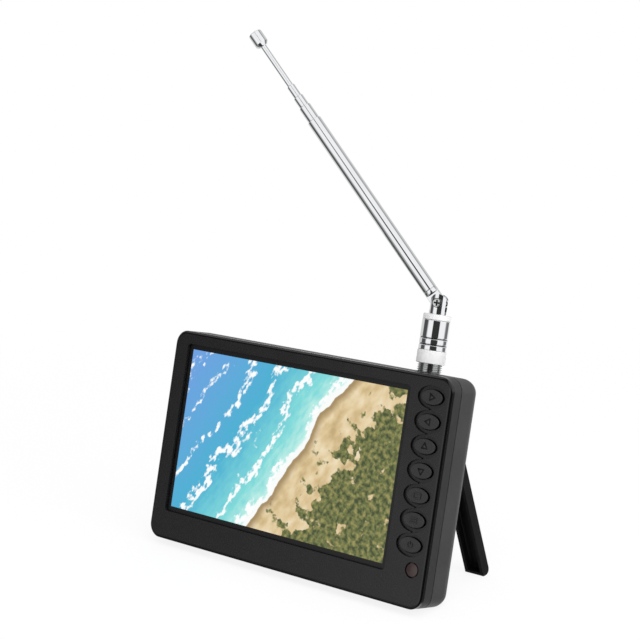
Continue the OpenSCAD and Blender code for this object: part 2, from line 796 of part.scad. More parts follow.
module leg() color("#1c1c1d") intersection() {
    translate([-case_w, -case_w, 0]) cube(2 * case_w);
    standing() translate([leg_x, pivot_y, pivot_z]) rotate([leg_open, 0, 0]) difference() {
        union() {
            translate([-leg_w / 2, -leg_t / 2, -foot_s]) cube([leg_w, leg_t, foot_s]);
            translate([-leg_w / 2, -leg_t / 2, -foot_s - foot_r])
                cube([leg_w, leg_t - foot_r, foot_r + eps]);
            translate([0, foot_h, -foot_s]) rotate([0, 90, 0]) cylinder(h = leg_w, r = foot_r, center = true);
            rotate([0, 90, 0]) cylinder(h = leg_w, r = leg_t / 2, center = true);
            translate([-leg_w / 2, -leg_t / 2, 0]) cube([leg_w, leg_t / 2, heel]);
        }
        tray_end = leg_reach(-leg_t / 2) - leg_wall;
        translate([leg_wall - leg_w / 2, -leg_t / 2 - past, -tray_end])
            cube([leg_w - 2 * leg_wall, leg_t + past - leg_wall, tray_end - leg_t / 2 - leg_wall]);
        rotate([0, 90, 0]) cylinder(h = leg_w + past, r = leg_pin_d / 2 + run, center = true);
    }
}

module leg_pin() color("#b4b7ba") standing() translate([leg_x, pivot_y, pivot_z]) rotate([0, 90, 0])
    cylinder(h = pocket_w + 2 * pin_bite, r = leg_pin_d / 2, center = true);

module lower_insulator() color("#ececec") standing() translate([aerial_x, aerial_y, ring_z]) difference() {
    cylinder(h = lower_ring_h, d = lower_ring_d);
    translate([0, 0, -past]) cylinder(h = lower_ring_h + 2 * past, r = stub_r + run);
}

module aerial_sleeve() color("#d3d5d8") standing() translate([aerial_x, aerial_y, sleeve_z]) difference() {
    cylinder(h = sleeve_h, d = sleeve_d);
    translate([0, 0, -past]) cylinder(h = cavity_top - sleeve_z + past, r = stub_r + run);
    cylinder(h = sleeve_h + past, r = stem_r + run);
    for (z = [groove_low, groove_high]) translate([0, 0, z]) difference() {
        cylinder(h = groove_h, d = sleeve_d + past);
        translate([0, 0, -past]) cylinder(h = 2 * past, r = sleeve_d / 2 - groove_d);
    }
}

module upper_insulator() color("#ececec") standing() translate([aerial_x, aerial_y, upper_z]) difference() {
    cylinder(h = upper_ring_h, d = upper_ring_d);
    translate([0, 0, -past]) cylinder(h = upper_ring_h + 2 * past, r = stem_r + run);
}

module aerial_fork() color("#cdd0d3") standing() {
    rise = knuckle_z - fork_z;
    at_knuckle(0) difference() {
        intersection() {
            translate([0, 0, fork_gap - rise]) cylinder(h = rise + fork_r, r = fork_r);
            union() {
                translate([-fork_flat, -fork_r, -rise]) cube([2 * fork_flat, fork_d, rise]);
                rotate([0, 90, 0]) cylinder(h = 2 * fork_flat, r = fork_r, center = true);
            }
        }
        translate([-fork_slot / 2, -fork_d, fork_floor - knuckle_z])
            cube([fork_slot, 2 * fork_d, fork_d + rise]);
        rotate([0, 90, 0]) cylinder(h = 2 * fork_d, r = knuckle_r, center = true);
    }
    rivet_z = cavity_top - rivet_gap - rivet_t;
    translate([aerial_x, aerial_y, rivet_z]) {
        cylinder(h = rivet_t, r = rivet_r);
        cylinder(h = fork_z + fork_gap + eps - rivet_z, r = stem_r);
    }
}

module knuckle_screw() color("#b9bcbf") standing() at_knuckle(0) rotate([0, 90, 0]) {
    translate([0, 0, -fork_flat]) cylinder(h = 2 * fork_flat + eps, r = knuckle_r);
    translate([0, 0, fork_flat]) cylinder(h = knuckle_head_t, r = knuckle_head_r);
}

module mast_eye() color("#cdd0d3") standing() at_knuckle(mast_tilt) difference() {
    union() {
        rotate([0, 90, 0]) cylinder(h = eye_t, r = eye_r(), center = true);
        intersection() {
            translate([-eye_t / 2, -eye_r(), 0]) cube([eye_t, 2 * eye_r(), mast_foot]);
            cylinder(h = mast_foot, d = mast_d);
        }
        translate([0, 0, collar_s]) cylinder(h = mast_foot - collar_s, d = mast_d);
        translate([0, 0, mast_foot - eps]) cylinder(h = plug_l, r = tube_r(1) - mast_wall);
    }
    rotate([0, 90, 0]) cylinder(h = mast_d, r = knuckle_r + run, center = true);
}

module mast_tube(i) {
    color("#d8dadd") standing() at_knuckle(mast_tilt)
        translate([0, 0, tube_top(i) - tube_l(i)]) difference() {
            cylinder(h = tube_l(i), r = tube_r(i));
            translate([0, 0, -past]) cylinder(h = tube_l(i) + 2 * past, r = tube_r(i) - mast_wall);
        }
}

module mast_rod() color("#d8dadd") standing() at_knuckle(mast_tilt)
    translate([0, 0, rod_top - rod_l]) cylinder(h = rod_l + tip_grip, r = rod_r);

module mast_tip() color("#d8dadd") standing() at_knuckle(mast_tilt) translate([0, 0, rod_top]) {
    rotate_extrude() polygon([[rod_r, 0], [tip_d / 2 - tip_chamfer, 0], [tip_d / 2, tip_chamfer],
                              [tip_d / 2, tip_l - tip_edge], [tip_d / 2 - tip_edge, tip_l],
                              [0, tip_l], [0, tip_grip], [rod_r, tip_grip]]);
}

front_frame();
rear_cover();
panel_gasket();
lcd_panel();
backlight_unit();
display_ribbon();
main_board();
main_chip();
tuner_can();
key_board();
key_switches();
key_ribbon();
infrared_window();
infrared_receiver();
speaker();
speaker_lead();
battery_pack();
battery_lead();
aerial_socket();
aerial_lead();
power_socket();
earphone_socket();
card_socket();
case_screws();
board_screws();
key_board_screws();
leg();
leg_pin();
lower_insulator();
aerial_sleeve();
upper_insulator();
aerial_fork();
knuckle_screw();
mast_eye();
for (i = [1:4]) mast_tube(i);
mast_rod();
mast_tip();
for (i = [0:key_count - 1]) color("#262628") standing() key_cap(i);
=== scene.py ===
"""Portable television: the looks of a hand-sized flat-screen set that leans back on its leg.

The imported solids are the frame. The shells, keys, leg, screws and aerial are modelled again
here with finished edges; boards, leads and other inner parts keep their solids and get a
material each. Sizes are in mm in the case's own frame, as in the part's source: x across,
y from the front face to the back, z up the case. STANDING leans a finished piece back onto
the leg and brings it to metres.
"""
from math import cos, pi, radians, sin, tan

import bmesh
import bpy
from mathutils import Matrix, Vector


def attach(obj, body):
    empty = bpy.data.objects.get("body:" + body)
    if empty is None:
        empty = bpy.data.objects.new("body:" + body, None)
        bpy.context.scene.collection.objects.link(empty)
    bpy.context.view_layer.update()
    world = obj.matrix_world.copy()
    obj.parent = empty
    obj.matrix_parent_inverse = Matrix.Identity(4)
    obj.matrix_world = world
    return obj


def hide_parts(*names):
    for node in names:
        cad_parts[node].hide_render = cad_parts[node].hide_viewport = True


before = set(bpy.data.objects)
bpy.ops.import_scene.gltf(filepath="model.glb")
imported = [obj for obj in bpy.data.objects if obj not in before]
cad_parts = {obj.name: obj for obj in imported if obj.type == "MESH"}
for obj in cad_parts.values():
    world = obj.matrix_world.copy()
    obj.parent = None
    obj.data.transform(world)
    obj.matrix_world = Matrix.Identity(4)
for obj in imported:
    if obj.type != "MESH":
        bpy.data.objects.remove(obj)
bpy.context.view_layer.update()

EPS = 0.01                                      # keeps faces of joined shapes apart
PAST = 2.0                                      # how far a cutting shape reaches out of a solid
SMOOTH_ANGLE = 35.0                             # edges sharper than this stay sharp, or are rounded
CUT, JOIN, KEEP = "DIFFERENCE", "UNION", "INTERSECT"
MOST_TRIES = 8
# Least cosine, to the front or to a screw's axis, of a face that keeps its piece's first finish; steeper
# faces take painted shade
FRONT_FLAT, CAP_FLAT, SIGN_FLAT, HEAD_FLAT = 0.9995, 0.5, 0.97, 0.9

# Case
CASE_W, CASE_H, CASE_D = 137.4, 85.5, 21.3
MID_Z = CASE_H / 2
CORNER_R, REAR_EDGE_R = 5.5, 7.5
EDGE_BEND, EDGE_TURN, SHADE_DEPTH = 1.6, 50.0, 1.9    # the front's edge: bend, turn, depth of its painted shade
WALL, FRONT_WALL = 1.8, 2.0
INNER_W, INNER_H = CASE_W - 2 * WALL, CASE_H - 2 * WALL
BACK_IN = CASE_D - WALL
SEAM_Y, GROOVE = 6.35, 0.4
ROLL_Y, ROLL_Z = CASE_D - REAR_EDGE_R, REAR_EDGE_R
TILT, LAND_CUT = 14.2, 0.2
SNUG, RUN, LOOSE = 0.1, 0.05, 0.3

# Screen
SCREEN_W, SCREEN_H, SCREEN_X, SCREEN_Z = 108.0, 64.8, -5.5, 46.0
SCREEN_BORDER, SCREEN_RECESS, OPENING_R, GASKET_T, SEAT_GAP = 2.1, 1.3, 1.5, 0.3, 0.2
SHORE_TURN = 58.0                               # slant of the picture's shore
OPENING_W, OPENING_H = SCREEN_W + 2 * SCREEN_BORDER, SCREEN_H + 2 * SCREEN_BORDER
PANEL_W, PANEL_H, PANEL_X, PANEL_Z = 120.25, 75.8, SCREEN_X - 0.925, SCREEN_Z - 1.5
PANEL_BACK = 4.3

# Keys and the infrared window under them
KEY_X, KEY_TOP_Z, KEY_PITCH = 60.35, 77.5, 9.06
KEY_W, KEY_H, KEY_PROUD, KEY_GAP, KEY_EDGE = 9.4, 5.6, 0.1, 0.3, 0.3
SIGN_RISE, ARROW_RISE, ARROW_R, ARROW_TOP_R = 0.3, 0.2, 2.0, 0.9
BARS_W, BAR_H, BAR_PITCH = 3.2, 0.45, 0.85
SCREEN_SIGN, SCREEN_SIGN_LINE = (3.4, 2.3), 0.4
RING_SIGN_R, RING_SIGN_LINE, STROKE_H = 1.25, 0.4, 1.3
CHAIN_MARGIN, CHAIN_DEPTH, CHAIN_NECK = 1.55, 0.9, 1.2
FLANGE_Y, FLANGE_T, FLANGE_LAP, PLUNGER_L, PLUNGER_R = 2.1, 0.8, 0.6, 0.6, 1.2
KEYS = ("right", "left", "up", "down", "source", "menu", "power")
KEY_LEVELS = [KEY_TOP_Z - i * KEY_PITCH for i in range(len(KEYS))]
KEY_BOARD_Y = 5.55
WINDOW_D, WINDOW_X, WINDOW_Z, WINDOW_RIM, WINDOW_RIM_T, WINDOW_GAP = 5.7, 62.7, 14.3, 0.9, 0.8, 0.35
WINDOW_EDGE = 0.2

# Leg and its pocket
LEG_X, LEG_W, LEG_T, LEG_WALL, LEG_OPEN, HEEL, FOOT_R, PIN_R = 57.9, 8.5, 4.2, 1.3, 33.9, 3.0, 2.2, 0.8
TRAY_EDGE = 0.9
PIVOT_Y, PIVOT_Z = CASE_D - 0.1 - LEG_T / 2, 60.5
POCKET_W, POCKET_WALL = LEG_W + 0.8, 1.5
POCKET_FLOOR = PIVOT_Y - LEG_T / 2 - LOOSE
STOP_FLOOR = PIVOT_Y - LEG_T / 2 * cos(radians(LEG_OPEN)) - HEEL * sin(radians(LEG_OPEN)) - 0.05
HEAD_SWEEP = Vector((LEG_T / 2, HEEL)).length + LOOSE
PIN_BITE = 1.1

# Aerial, up the socket's axis and then along the mast from the knuckle
AERIAL_X, AERIAL_Y = 49.6, 11.6
STUB_R, STUB_SHOW, THREAD_PITCH, THREAD_DEPTH = 4.7, 3.5, 0.8, 0.45
LOWER_RING_R, LOWER_RING_H, SLEEVE_R, SLEEVE_H, UPPER_RING_R, UPPER_RING_H = 5.45, 4.9, 5.3, 11.4, 5.2, 2.1
RING_Z = CASE_H + STUB_SHOW
SLEEVE_Z = RING_Z + LOWER_RING_H
UPPER_Z = SLEEVE_Z + SLEEVE_H
FORK_Z = UPPER_Z + UPPER_RING_H
KNUCKLE_Z = FORK_Z + 4.3
SOCKET_LOW, SOCKET_TOP = CASE_H - WALL - 9.0, 82.847
SOCKET_BODY = (11.0, 10.4, SOCKET_TOP - SOCKET_LOW)
STUB_TOP, CAVITY_TOP = SLEEVE_Z + 3.0, SLEEVE_Z + 6.2
GROOVE_LEVELS, SLEEVE_GROOVE_H, SLEEVE_GROOVE_D, SLEEVE_EDGE = (1.7, 4.1), 0.8, 0.22, 0.25
RING_EDGE = 0.3
STEM_R, RIVET_R, RIVET_T, RIVET_GAP = 2.0, 3.2, 1.0, 0.2
FORK_R, FORK_FLAT, FORK_SLOT, FORK_GAP = 3.35, 2.9, 2.8, 0.1
KNUCKLE_TURN, MAST_LEAN = 20.0, 43.6
SCREW_R, SCREW_HEAD_R, SCREW_HEAD_T, SEAT_R = 1.0, 1.8, 0.9, 1.6
HEAD_RIM, HEAD_DOME, DOME_STEPS = 0.35, 0.05, 6
SLOT_LONG, SLOT_WIDE, SLOT_DEPTH = 1.3, 0.36, 0.55     # a cross slot, in parts of the head; its depth
MAST_R, MAST_WALL, MAST_STEP, MAST_FOOT, PLUG_L = 2.75, 0.3, 0.4, 6.0, 5.0
TUBE_LIP, TUBE_EASE, COLLAR_EDGE = 0.24, 0.1, 0.3
EYE_R, EYE_T, COLLAR_S = MAST_R - 0.1, 2.6, FORK_R + 0.9
TUBE_L, TUBE_L_STEP, SHOWS = 79.8, 4.0, (0, 6.7, 4.6, 5.4, 19.4)
ROD, ROD_STEPS = 5, 4.5                         # the rod's place in the mast; how much shorter it is
TIP_R, TIP_L, TIP_GRIP, TIP_CHAMFER, TIP_EDGE = 2.7, 6.3, 3.5, 1.1, 0.3

# Back of the case: screws, speaker grille, side sockets, posts for the main board
BOSS_R, BOSS_END, SCREW_SEAT, BACK_BOSS_R = 2.2, 11.0, 15.0, 2.8
CASE_SCREW_R, CASE_HEAD_R, CASE_HEAD_T, PILOT_FLOOR = 1.0, 1.9, 1.2, 0.8
CASE_HOLE_R, CASE_SLOT_DEPTH, CASE_HEAD_EDGE, SCREW_SPARE = 1.15, 0.7, 0.5, 0.4
BOSSES = [(sx * x, z, y) for x, z, y in ((44.0, 3.9, FRONT_WALL), (62.0, CASE_H - 3.9, PANEL_BACK + 0.4))
          for sx in (-1, 1)]
SPEAKER_X, SPEAKER_Z, SPEAKER_R, SPEAKER_Y, SPEAKER_RIM = -38.0, 58.0, 14.0, BACK_IN - 4.8, 1.2
GRILLE_R, GRILLE_PITCH, GRILLE_REACH = 0.95, 3.4, 12.0
BOARD_X, BOARD_Z, BOARD_BACK = -13.0, 46.2, 8.85
BOARD_POSTS = [(BOARD_X + sx * 47.0, BOARD_Z + sz * 24.0) for sx in (-1, 1) for sz in (-1, 1)]
POST_R, POST_GRIP, BOARD_SCREW_R = 2.2, 6.0, 0.9
SIDE_X, SOCKET_Y, SOCKET_LEVELS, NOSE_R = -CASE_W / 2, 11.55, (32.05, 42.7), 2.3
CARD_Y, CARD_Z, CARD_SLOT = BOARD_BACK + 0.95, 56.85, (1.5, 11.8)
KEY_POST_X, KEY_POST_R, KEY_SCREW_R = CASE_W / 2 - WALL - 1.5, 1.5, 0.7
KEY_POSTS = [KEY_TOP_Z - (i + 0.5) * KEY_PITCH for i in (0, 5)]


def at(x, y, z):
    return Matrix.Translation((x, y, z))


def spun(degrees, axis):
    return Matrix.Rotation(radians(degrees), 4, axis)


STANDING = (Matrix.Scale(0.001, 4) @ at(0, 0, REAR_EDGE_R - LAND_CUT)
            @ spun(-TILT, "X") @ at(0, -ROLL_Y, -ROLL_Z))
FACING = spun(90, "X")         # a flat shape's x, y become the case's x, z
ALONG_X = spun(90, "Y")        # a turned shape's axis becomes x
ALONG_Y = spun(-90, "X")       # or y, front to back
AERIAL = at(AERIAL_X, AERIAL_Y, 0)
FORK = at(AERIAL_X, AERIAL_Y, KNUCKLE_Z) @ spun(KNUCKLE_TURN - 90, "Z")
MAST = FORK @ spun(MAST_LEAN, "X")
LEG = at(LEG_X, PIVOT_Y, PIVOT_Z) @ spun(LEG_OPEN, "X")


# Shapes

def as_mesh(bm, name="shape"):
    mesh = bpy.data.meshes.new(name)
    bm.to_mesh(mesh)
    return mesh


def placed(name, data):
    """A new object in the scene."""
    thing = bpy.data.objects.new(name, data)
    bpy.context.scene.collection.objects.link(thing)
    return thing


def moved(bm, matrix):
    bmesh.ops.transform(bm, matrix=matrix, verts=bm.verts)
    return bm


def raised(bm, way):
    """Draws a flat face out along a way, as a closed solid."""
    grown = bmesh.ops.extrude_face_region(bm, geom=bm.faces[:])["geom"]
    top = [v for v in grown if isinstance(v, bmesh.types.BMVert)]
    bmesh.ops.translate(bm, vec=way, verts=top)
    bmesh.ops.recalc_face_normals(bm, faces=bm.faces)
    return bm


def rounded_face(bm, w, h, r, segments=12):
    """A flat rectangle with rounded corners, in the x-y plane."""
    made = bmesh.ops.create_grid(bm, x_segments=1, y_segments=1, size=0.5)["verts"]
    bmesh.ops.scale(bm, vec=(w, h, 1), verts=made)
    if r:
        made = bmesh.ops.bevel(bm, geom=made, offset=r, segments=segments, profile=0.5,
                               affect="VERTICES", material=-1)["verts"]
    return made


def plate(w, h, r, y0, y1, x=0.0, z=0.0, segments=12):
    """A plate with rounded corners that faces the front, from depth y0 to y1."""
    bm = bmesh.new()
    rounded_face(bm, w, h, r, segments)
    return moved(raised(bm, (0, 0, y1 - y0)), at(x, y1, z) @ FACING)


def oval(w, h, y0, y1, x, z, steps):
    """An oval plate that faces the front, from depth y0 to y1."""
    bm = bmesh.new()
    bmesh.ops.create_circle(bm, cap_ends=True, radius=0.5, segments=steps)
    bmesh.ops.scale(bm, vec=(w, h, 1), verts=bm.verts)
    return moved(raised(bm, (0, 0, y1 - y0)), at(x, y1, z) @ FACING)


def bar(x, z, r, y0, y1, steps=32):
    return oval(2 * r, 2 * r, y0, y1, x, z, steps)


def block(size, place):
    """A box of three sizes about its middle."""
    bm = bmesh.new()
    bmesh.ops.create_cube(bm, size=1.0)
    bmesh.ops.scale(bm, vec=size, verts=bm.verts)
    return moved(bm, at(*place))


def turned(profile, steps):
    """Spins a line of (radius, height) points about the z axis; both its ends lie on the axis
    or meet each other."""
    bm = bmesh.new()
    line = [bm.verts.new((r, 0, z)) for r, z in profile]
    edges = [bm.edges.new(pair) for pair in zip(line, line[1:])]
    bmesh.ops.spin(bm, geom=line + edges, cent=(0, 0, 0), axis=(0, 0, 1), dvec=(0, 0, 0),
                   angle=2 * pi, steps=steps, use_merge=True)
    bmesh.ops.remove_doubles(bm, verts=bm.verts, dist=1e-4)
    bmesh.ops.delete(bm, geom=[e for e in bm.edges if e.is_wire], context="EDGES")
    bmesh.ops.recalc_face_normals(bm, faces=bm.faces)
    return bm


def pole(r, low, high, steps):
    """A round bar on the z axis."""
    return turned([(0, low), (r, low), (r, high), (0, high)], steps)


def rounding(r, z, radius, start, steps=5):
    """Points of a quarter round in a turned profile, about (r, z), from start degrees on."""
    turns = [radians(start + 90 * i / steps) for i in range(steps + 1)]
    return [(r + radius * cos(a), z + radius * sin(a)) for a in turns]


def joined(bm, loops):
    """Joins each ring of vertices to the next by faces, and closes both ends."""
    rings = [[e for e in bm.edges if loop.issuperset(e.verts)] for loop in map(set, loops)]
    for near, far in zip(rings, rings[1:]):
        bmesh.ops.bridge_loops(bm, edges=near + far)
    for end in (rings[0], rings[-1]):
        bmesh.ops.contextual_create(bm, geom=end)
    bmesh.ops.remove_doubles(bm, verts=bm.verts, dist=2 * EPS)
    bmesh.ops.recalc_face_normals(bm, faces=bm.faces)
    return bm


def lofted(w, h, corner, stations):
    """A solid of rounded rectangles that face the front, one for each depth and inset, joined one
    to the next. The corners tighten as the inset grows."""
    bm = bmesh.new()
    loops = []
    for y, inset in stations:
        loops.append(rounded_face(bm, w - 2 * inset, h - 2 * inset, max(corner - inset, EPS)))
        bmesh.ops.transform(bm, matrix=at(0, y, MID_Z) @ FACING, verts=loops[-1])
    bmesh.ops.delete(bm, geom=bm.faces[:], context="FACES_ONLY")
    return joined(bm, loops)


def stacked(stations, steps=64):
    """A solid of ovals that face the front, one for each depth, width and height."""
    bm = bmesh.new()
    loops = []
    for y, w, h in stations:
        loops.append(bmesh.ops.create_circle(bm, cap_ends=False, radius=0.5, segments=steps)["verts"])
        bmesh.ops.transform(bm, matrix=at(0, y, 0) @ FACING @ Matrix.Diagonal((w, h, 1, 1)),
                            verts=loops[-1])
    return joined(bm, loops)


def rolled_slab(w, h, y0, y1, corner, roll, steps=10):
    """A slab from depth y0 to y1 whose far edge rolls over."""
    turns = [pi / 2 * i / steps for i in range(steps + 1)]
    bend = [(y1 - roll + roll * sin(a), roll * (1 - cos(a))) for a in turns]
    return lofted(w, h, corner, [(y0, 0.0)] + bend)


def together(shapes):
    """Several shapes in one, side by side."""
    whole = bmesh.new()
    for shape in shapes:
        mesh = as_mesh(shape)
        whole.from_mesh(mesh)
        bpy.data.meshes.remove(mesh)
    return whole


def worked(bm, steps):
    """Cuts shapes out of a solid or joins them to it, in order: pairs of an operation and a shape.
    A boolean now and then drops a shape, so the work is done again until two results agree."""
    def attempt():
        solid = placed("shape", as_mesh(bm))
        tools = [placed("shape", as_mesh(shape)) for _, shape in steps]
        for (operation, _), tool in zip(steps, tools):
            change = solid.modifiers.new("work", "BOOLEAN")
            change.operation = operation
            change.solver = "EXACT"
            change.object = tool
        made = bpy.data.meshes.new_from_object(solid.evaluated_get(bpy.context.evaluated_depsgraph_get()))
        result = bmesh.new()
        result.from_mesh(made)
        for mesh in [made] + [thing.data for thing in [solid] + tools]:
            bpy.data.meshes.remove(mesh)
        bmesh.ops.remove_doubles(result, verts=result.verts, dist=2e-3)
        bmesh.ops.dissolve_degenerate(result, edges=result.edges, dist=2e-3)
        bmesh.ops.delete(result, geom=[e for e in result.edges if e.is_wire], context="EDGES")
        return result

    def alike(one, other):
        return len(one.verts) == len(other.verts) and abs(one.calc_volume() - other.calc_volume()) < EPS

    tries = []
    for _ in range(MOST_TRIES):
        latest = attempt()
        if any(alike(latest, other) for other in tries):
            break
        tries.append(latest)
    return latest


# Finishes

def paint(code):
    """Linear colour of an sRGB hex value."""
    levels = [int(code[i:i + 2], 16) / 255 for i in (1, 3, 5)]
    return [c / 12.92 if c <= 0.04045 else ((c + 0.055) / 1.055) ** 2.4 for c in levels] + [1.0]


def add(tree, kind, sockets=(), **settings):
    """Adds a node with its settings; each socket gets a value or a link."""
    node = tree.nodes.new("ShaderNode" + kind)
    for key, value in settings.items():
        setattr(node, key, value)
    for key, value in dict(sockets).items():
        if isinstance(value, bpy.types.NodeSocket):
            tree.links.new(value, node.inputs[key])
        else:
            node.inputs[key].default_value = value
    return node


def cleared(owner):
    """The node tree of a material or world, emptied."""
    owner.use_nodes = True
    owner.node_tree.nodes.clear()
    return owner.node_tree


def finish(name, shader):
    """A material with one principled shader; shader(tree) gives its sockets."""
    material = bpy.data.materials.new(name)
    tree = cleared(material)
    surface = add(tree, "BsdfPrincipled", shader(tree))
    add(tree, "OutputMaterial", {"Surface": surface.outputs["BSDF"]})
    return material


def work(tree, operation, *values):
    """One step of arithmetic on numbers or sockets."""
    return add(tree, "Math", dict(enumerate(values)), operation=operation).outputs[0]


def past(tree, value, start, end, **settings):
    """0 before start, 1 past end; start may be the greater."""
    return add(tree, "MapRange", {"Value": value, "From Min": start, "From Max": end}, **settings).outputs[0]


def grain(tree, size, detail=2.0, stretch=(1, 1, 1)):
    """Noise whose spots are about size mm across, on the piece's own coordinates."""
    place = add(tree, "TexCoord").outputs["Object"]
    place = add(tree, "Mapping", {"Vector": place, "Scale": [1000 / size * s for s in stretch]}).outputs[0]
    return add(tree, "TexNoise", {"Vector": place, "Scale": 1.0, "Detail": detail}).outputs["Fac"]


def in_case(tree, x, z):
    """Coordinates in mm in the case's own frame, about a place on its front."""
    turn = spun(TILT, "X").to_euler()
    shift = STANDING.inverted().translation - Vector((x, 0, z))
    place = add(tree, "TexCoord").outputs["Object"]
    return add(tree, "Mapping", {"Vector": place, "Scale": (1000, 1000, 1000), "Rotation": turn,
                                 "Location": shift}).outputs[0]


def between(tree, factor, low, high):
    """Runs from low to high as the noise goes from a quarter to three quarters."""
    return add(tree, "MapRange", {"Value": factor, "From Min": 0.25, "From Max": 0.75,
                                  "To Min": low, "To Max": high}).outputs[0]


def blend(tree, factor, first, second):
    """Mixes two colours, given as hex values or sockets."""
    first, second = [paint(c) if isinstance(c, str) else c for c in (first, second)]
    return add(tree, "Mix", {0: factor, 6: first, 7: second}, data_type="RGBA").outputs[2]


def moulded(name, dark, light, rough, size, relief, ior=1.5, **more):
    """A moulded plastic: two close shades, a fine grain size mm across and relief mm deep, and a
    gloss that varies with it."""
    def shader(tree):
        spots = grain(tree, size)
        clouds = grain(tree, 30 * size, 3.0)
        bump = add(tree, "Bump", {"Height": spots, "Strength": 1.0, "Distance": relief / 1000})
        return {"Base Color": blend(tree, between(tree, clouds, 0.0, 1.0), dark, light),
                "Roughness": between(tree, spots, rough - 0.05, rough + 0.05),
                "Normal": bump.outputs[0], "IOR": ior, **more}
    return finish(name, shader)


def plated(name, dark, light, rough, size, stretch=(1, 1, 1)):
    """A metal finish whose shade and polish vary a little over size mm."""
    def shader(tree):
        wear = grain(tree, size, 4.0, stretch)
        return {"Base Color": blend(tree, between(tree, wear, 0.0, 1.0), dark, light), "Metallic": 1.0,
                "Roughness": between(tree, wear, 0.75 * rough, 1.25 * rough)}
    return finish(name, shader)


# Spark-eroded ABS for the case: charcoal black, a sheen rather than a gloss, finer on the front
# than at the sides. The real grain is about 0.05 mm; it is drawn coarser so that it shows.
FRONT_ABS = moulded("black_abs_satin_face", "#171718", "#1a1a1b", 0.26, 0.30, 0.0015)
SIDE_ABS = moulded("black_abs_fine_grain", "#1f1f20", "#242425", 0.50, 0.35, 0.008)
COVER_ABS = moulded("charcoal_abs_fine_grain", "#2d2d2e", "#333334", 0.50, 0.35, 0.008)
# The keys are the same plastic with a smooth face
KEY_ABS = moulded("black_abs_satin_keys", "#222223", "#262627", 0.26, 0.22, 0.001)
# Painted shade: near-black plastic on walls, in the key chain and key holes, and a painted dark reflection on
# the front's rolled edge
SHADE_ABS = moulded("black_abs_painted_shade", "#050505", "#080808", 0.14, 0.30, 0.001)
# The leg is a blacker moulding with little sheen; the sides of the signs on the keys take it as painted shade
LEG_ABS_AND_SIGN_SHADE = moulded("jet_black_abs_leg_and_sign_shade", "#0d0d0e", "#121213", 0.34, 0.30, 0.004,
                  **{"Specular IOR Level": 0.15})
# Acetal insulators of the aerial: dense, white, slightly waxy
ACETAL = moulded("white_acetal", "#d0d0d0", "#d7d7d7", 0.36, 0.40, 0.003, ior=1.48)
# Infrared-passing acrylic, near black with a red-brown cast and a polished face
FILTER = moulded("infrared_acrylic", "#302322", "#392b2a", 0.16, 0.50, 0.001, ior=1.49)
# Bright chrome over nickel on brass tube: a mirror, very slightly uneven
CHROME = plated("bright_chrome_plate", "#eaecee", "#f2f3f4", 0.06, 12.0)
# Nickel on the aerial's stub and its screw, and zinc on the case's screws, are duller and warmer
NICKEL = plated("nickel_plated_brass", "#c3c4c4", "#d0d1d1", 0.14, 6.0)
ZINC = plated("zinc_plated_steel", "#a9adb1", "#bfc2c4", 0.24, 2.0)
# Painted shade on the floors of turned lines, in screw slots and round a screw head's edge
SHADE_STEEL = plated("painted_shade_steel", "#303133", "#3a3b3d", 0.30, 2.0)
TIN = plated("tin_plate_sheet", "#b9bcbf", "#cfd1d2", 0.30, 4.0, (1, 1, 6))
FOIL = plated("aluminium_foil_pouch", "#a4a8ab", "#b9bcbe", 0.38, 5.0)
# Inner parts
FOAM = moulded("closed_cell_foam", "#0b0b0b", "#121212", 0.85, 0.5, 0.05)
DIFFUSER = moulded("white_backlight_tray", "#dcdee0", "#e6e8e9", 0.45, 0.6, 0.004)
POLYIMIDE = moulded("polyimide_film", "#a85c14", "#c0741f", 0.30, 0.8, 0.002, ior=1.7)
FLAT_CABLE = moulded("white_flat_cable", "#dcdcd8", "#e8e8e4", 0.50, 1.0, 0.010)
SOLDER_MASK = moulded("green_solder_mask", "#0e4a26", "#16602f", 0.35, 1.2, 0.012, ior=1.55)
EPOXY = moulded("black_moulding_epoxy", "#161616", "#1e1e1e", 0.60, 0.2, 0.006, ior=1.55)
SWITCH = moulded("grey_nylon_switches", "#a8a8a8", "#b8b8b8", 0.50, 0.3, 0.005, ior=1.52)
CONE = moulded("black_paper_cone", "#1a1a1b", "#262627", 0.80, 0.6, 0.040)
RED_LEAD = moulded("red_pvc_wire", "#7e1712", "#8f2019", 0.45, 0.6, 0.004, ior=1.53)
SOCKET_PBT = moulded("black_pbt_sockets", "#101011", "#171718", 0.50, 0.25, 0.005, ior=1.55)


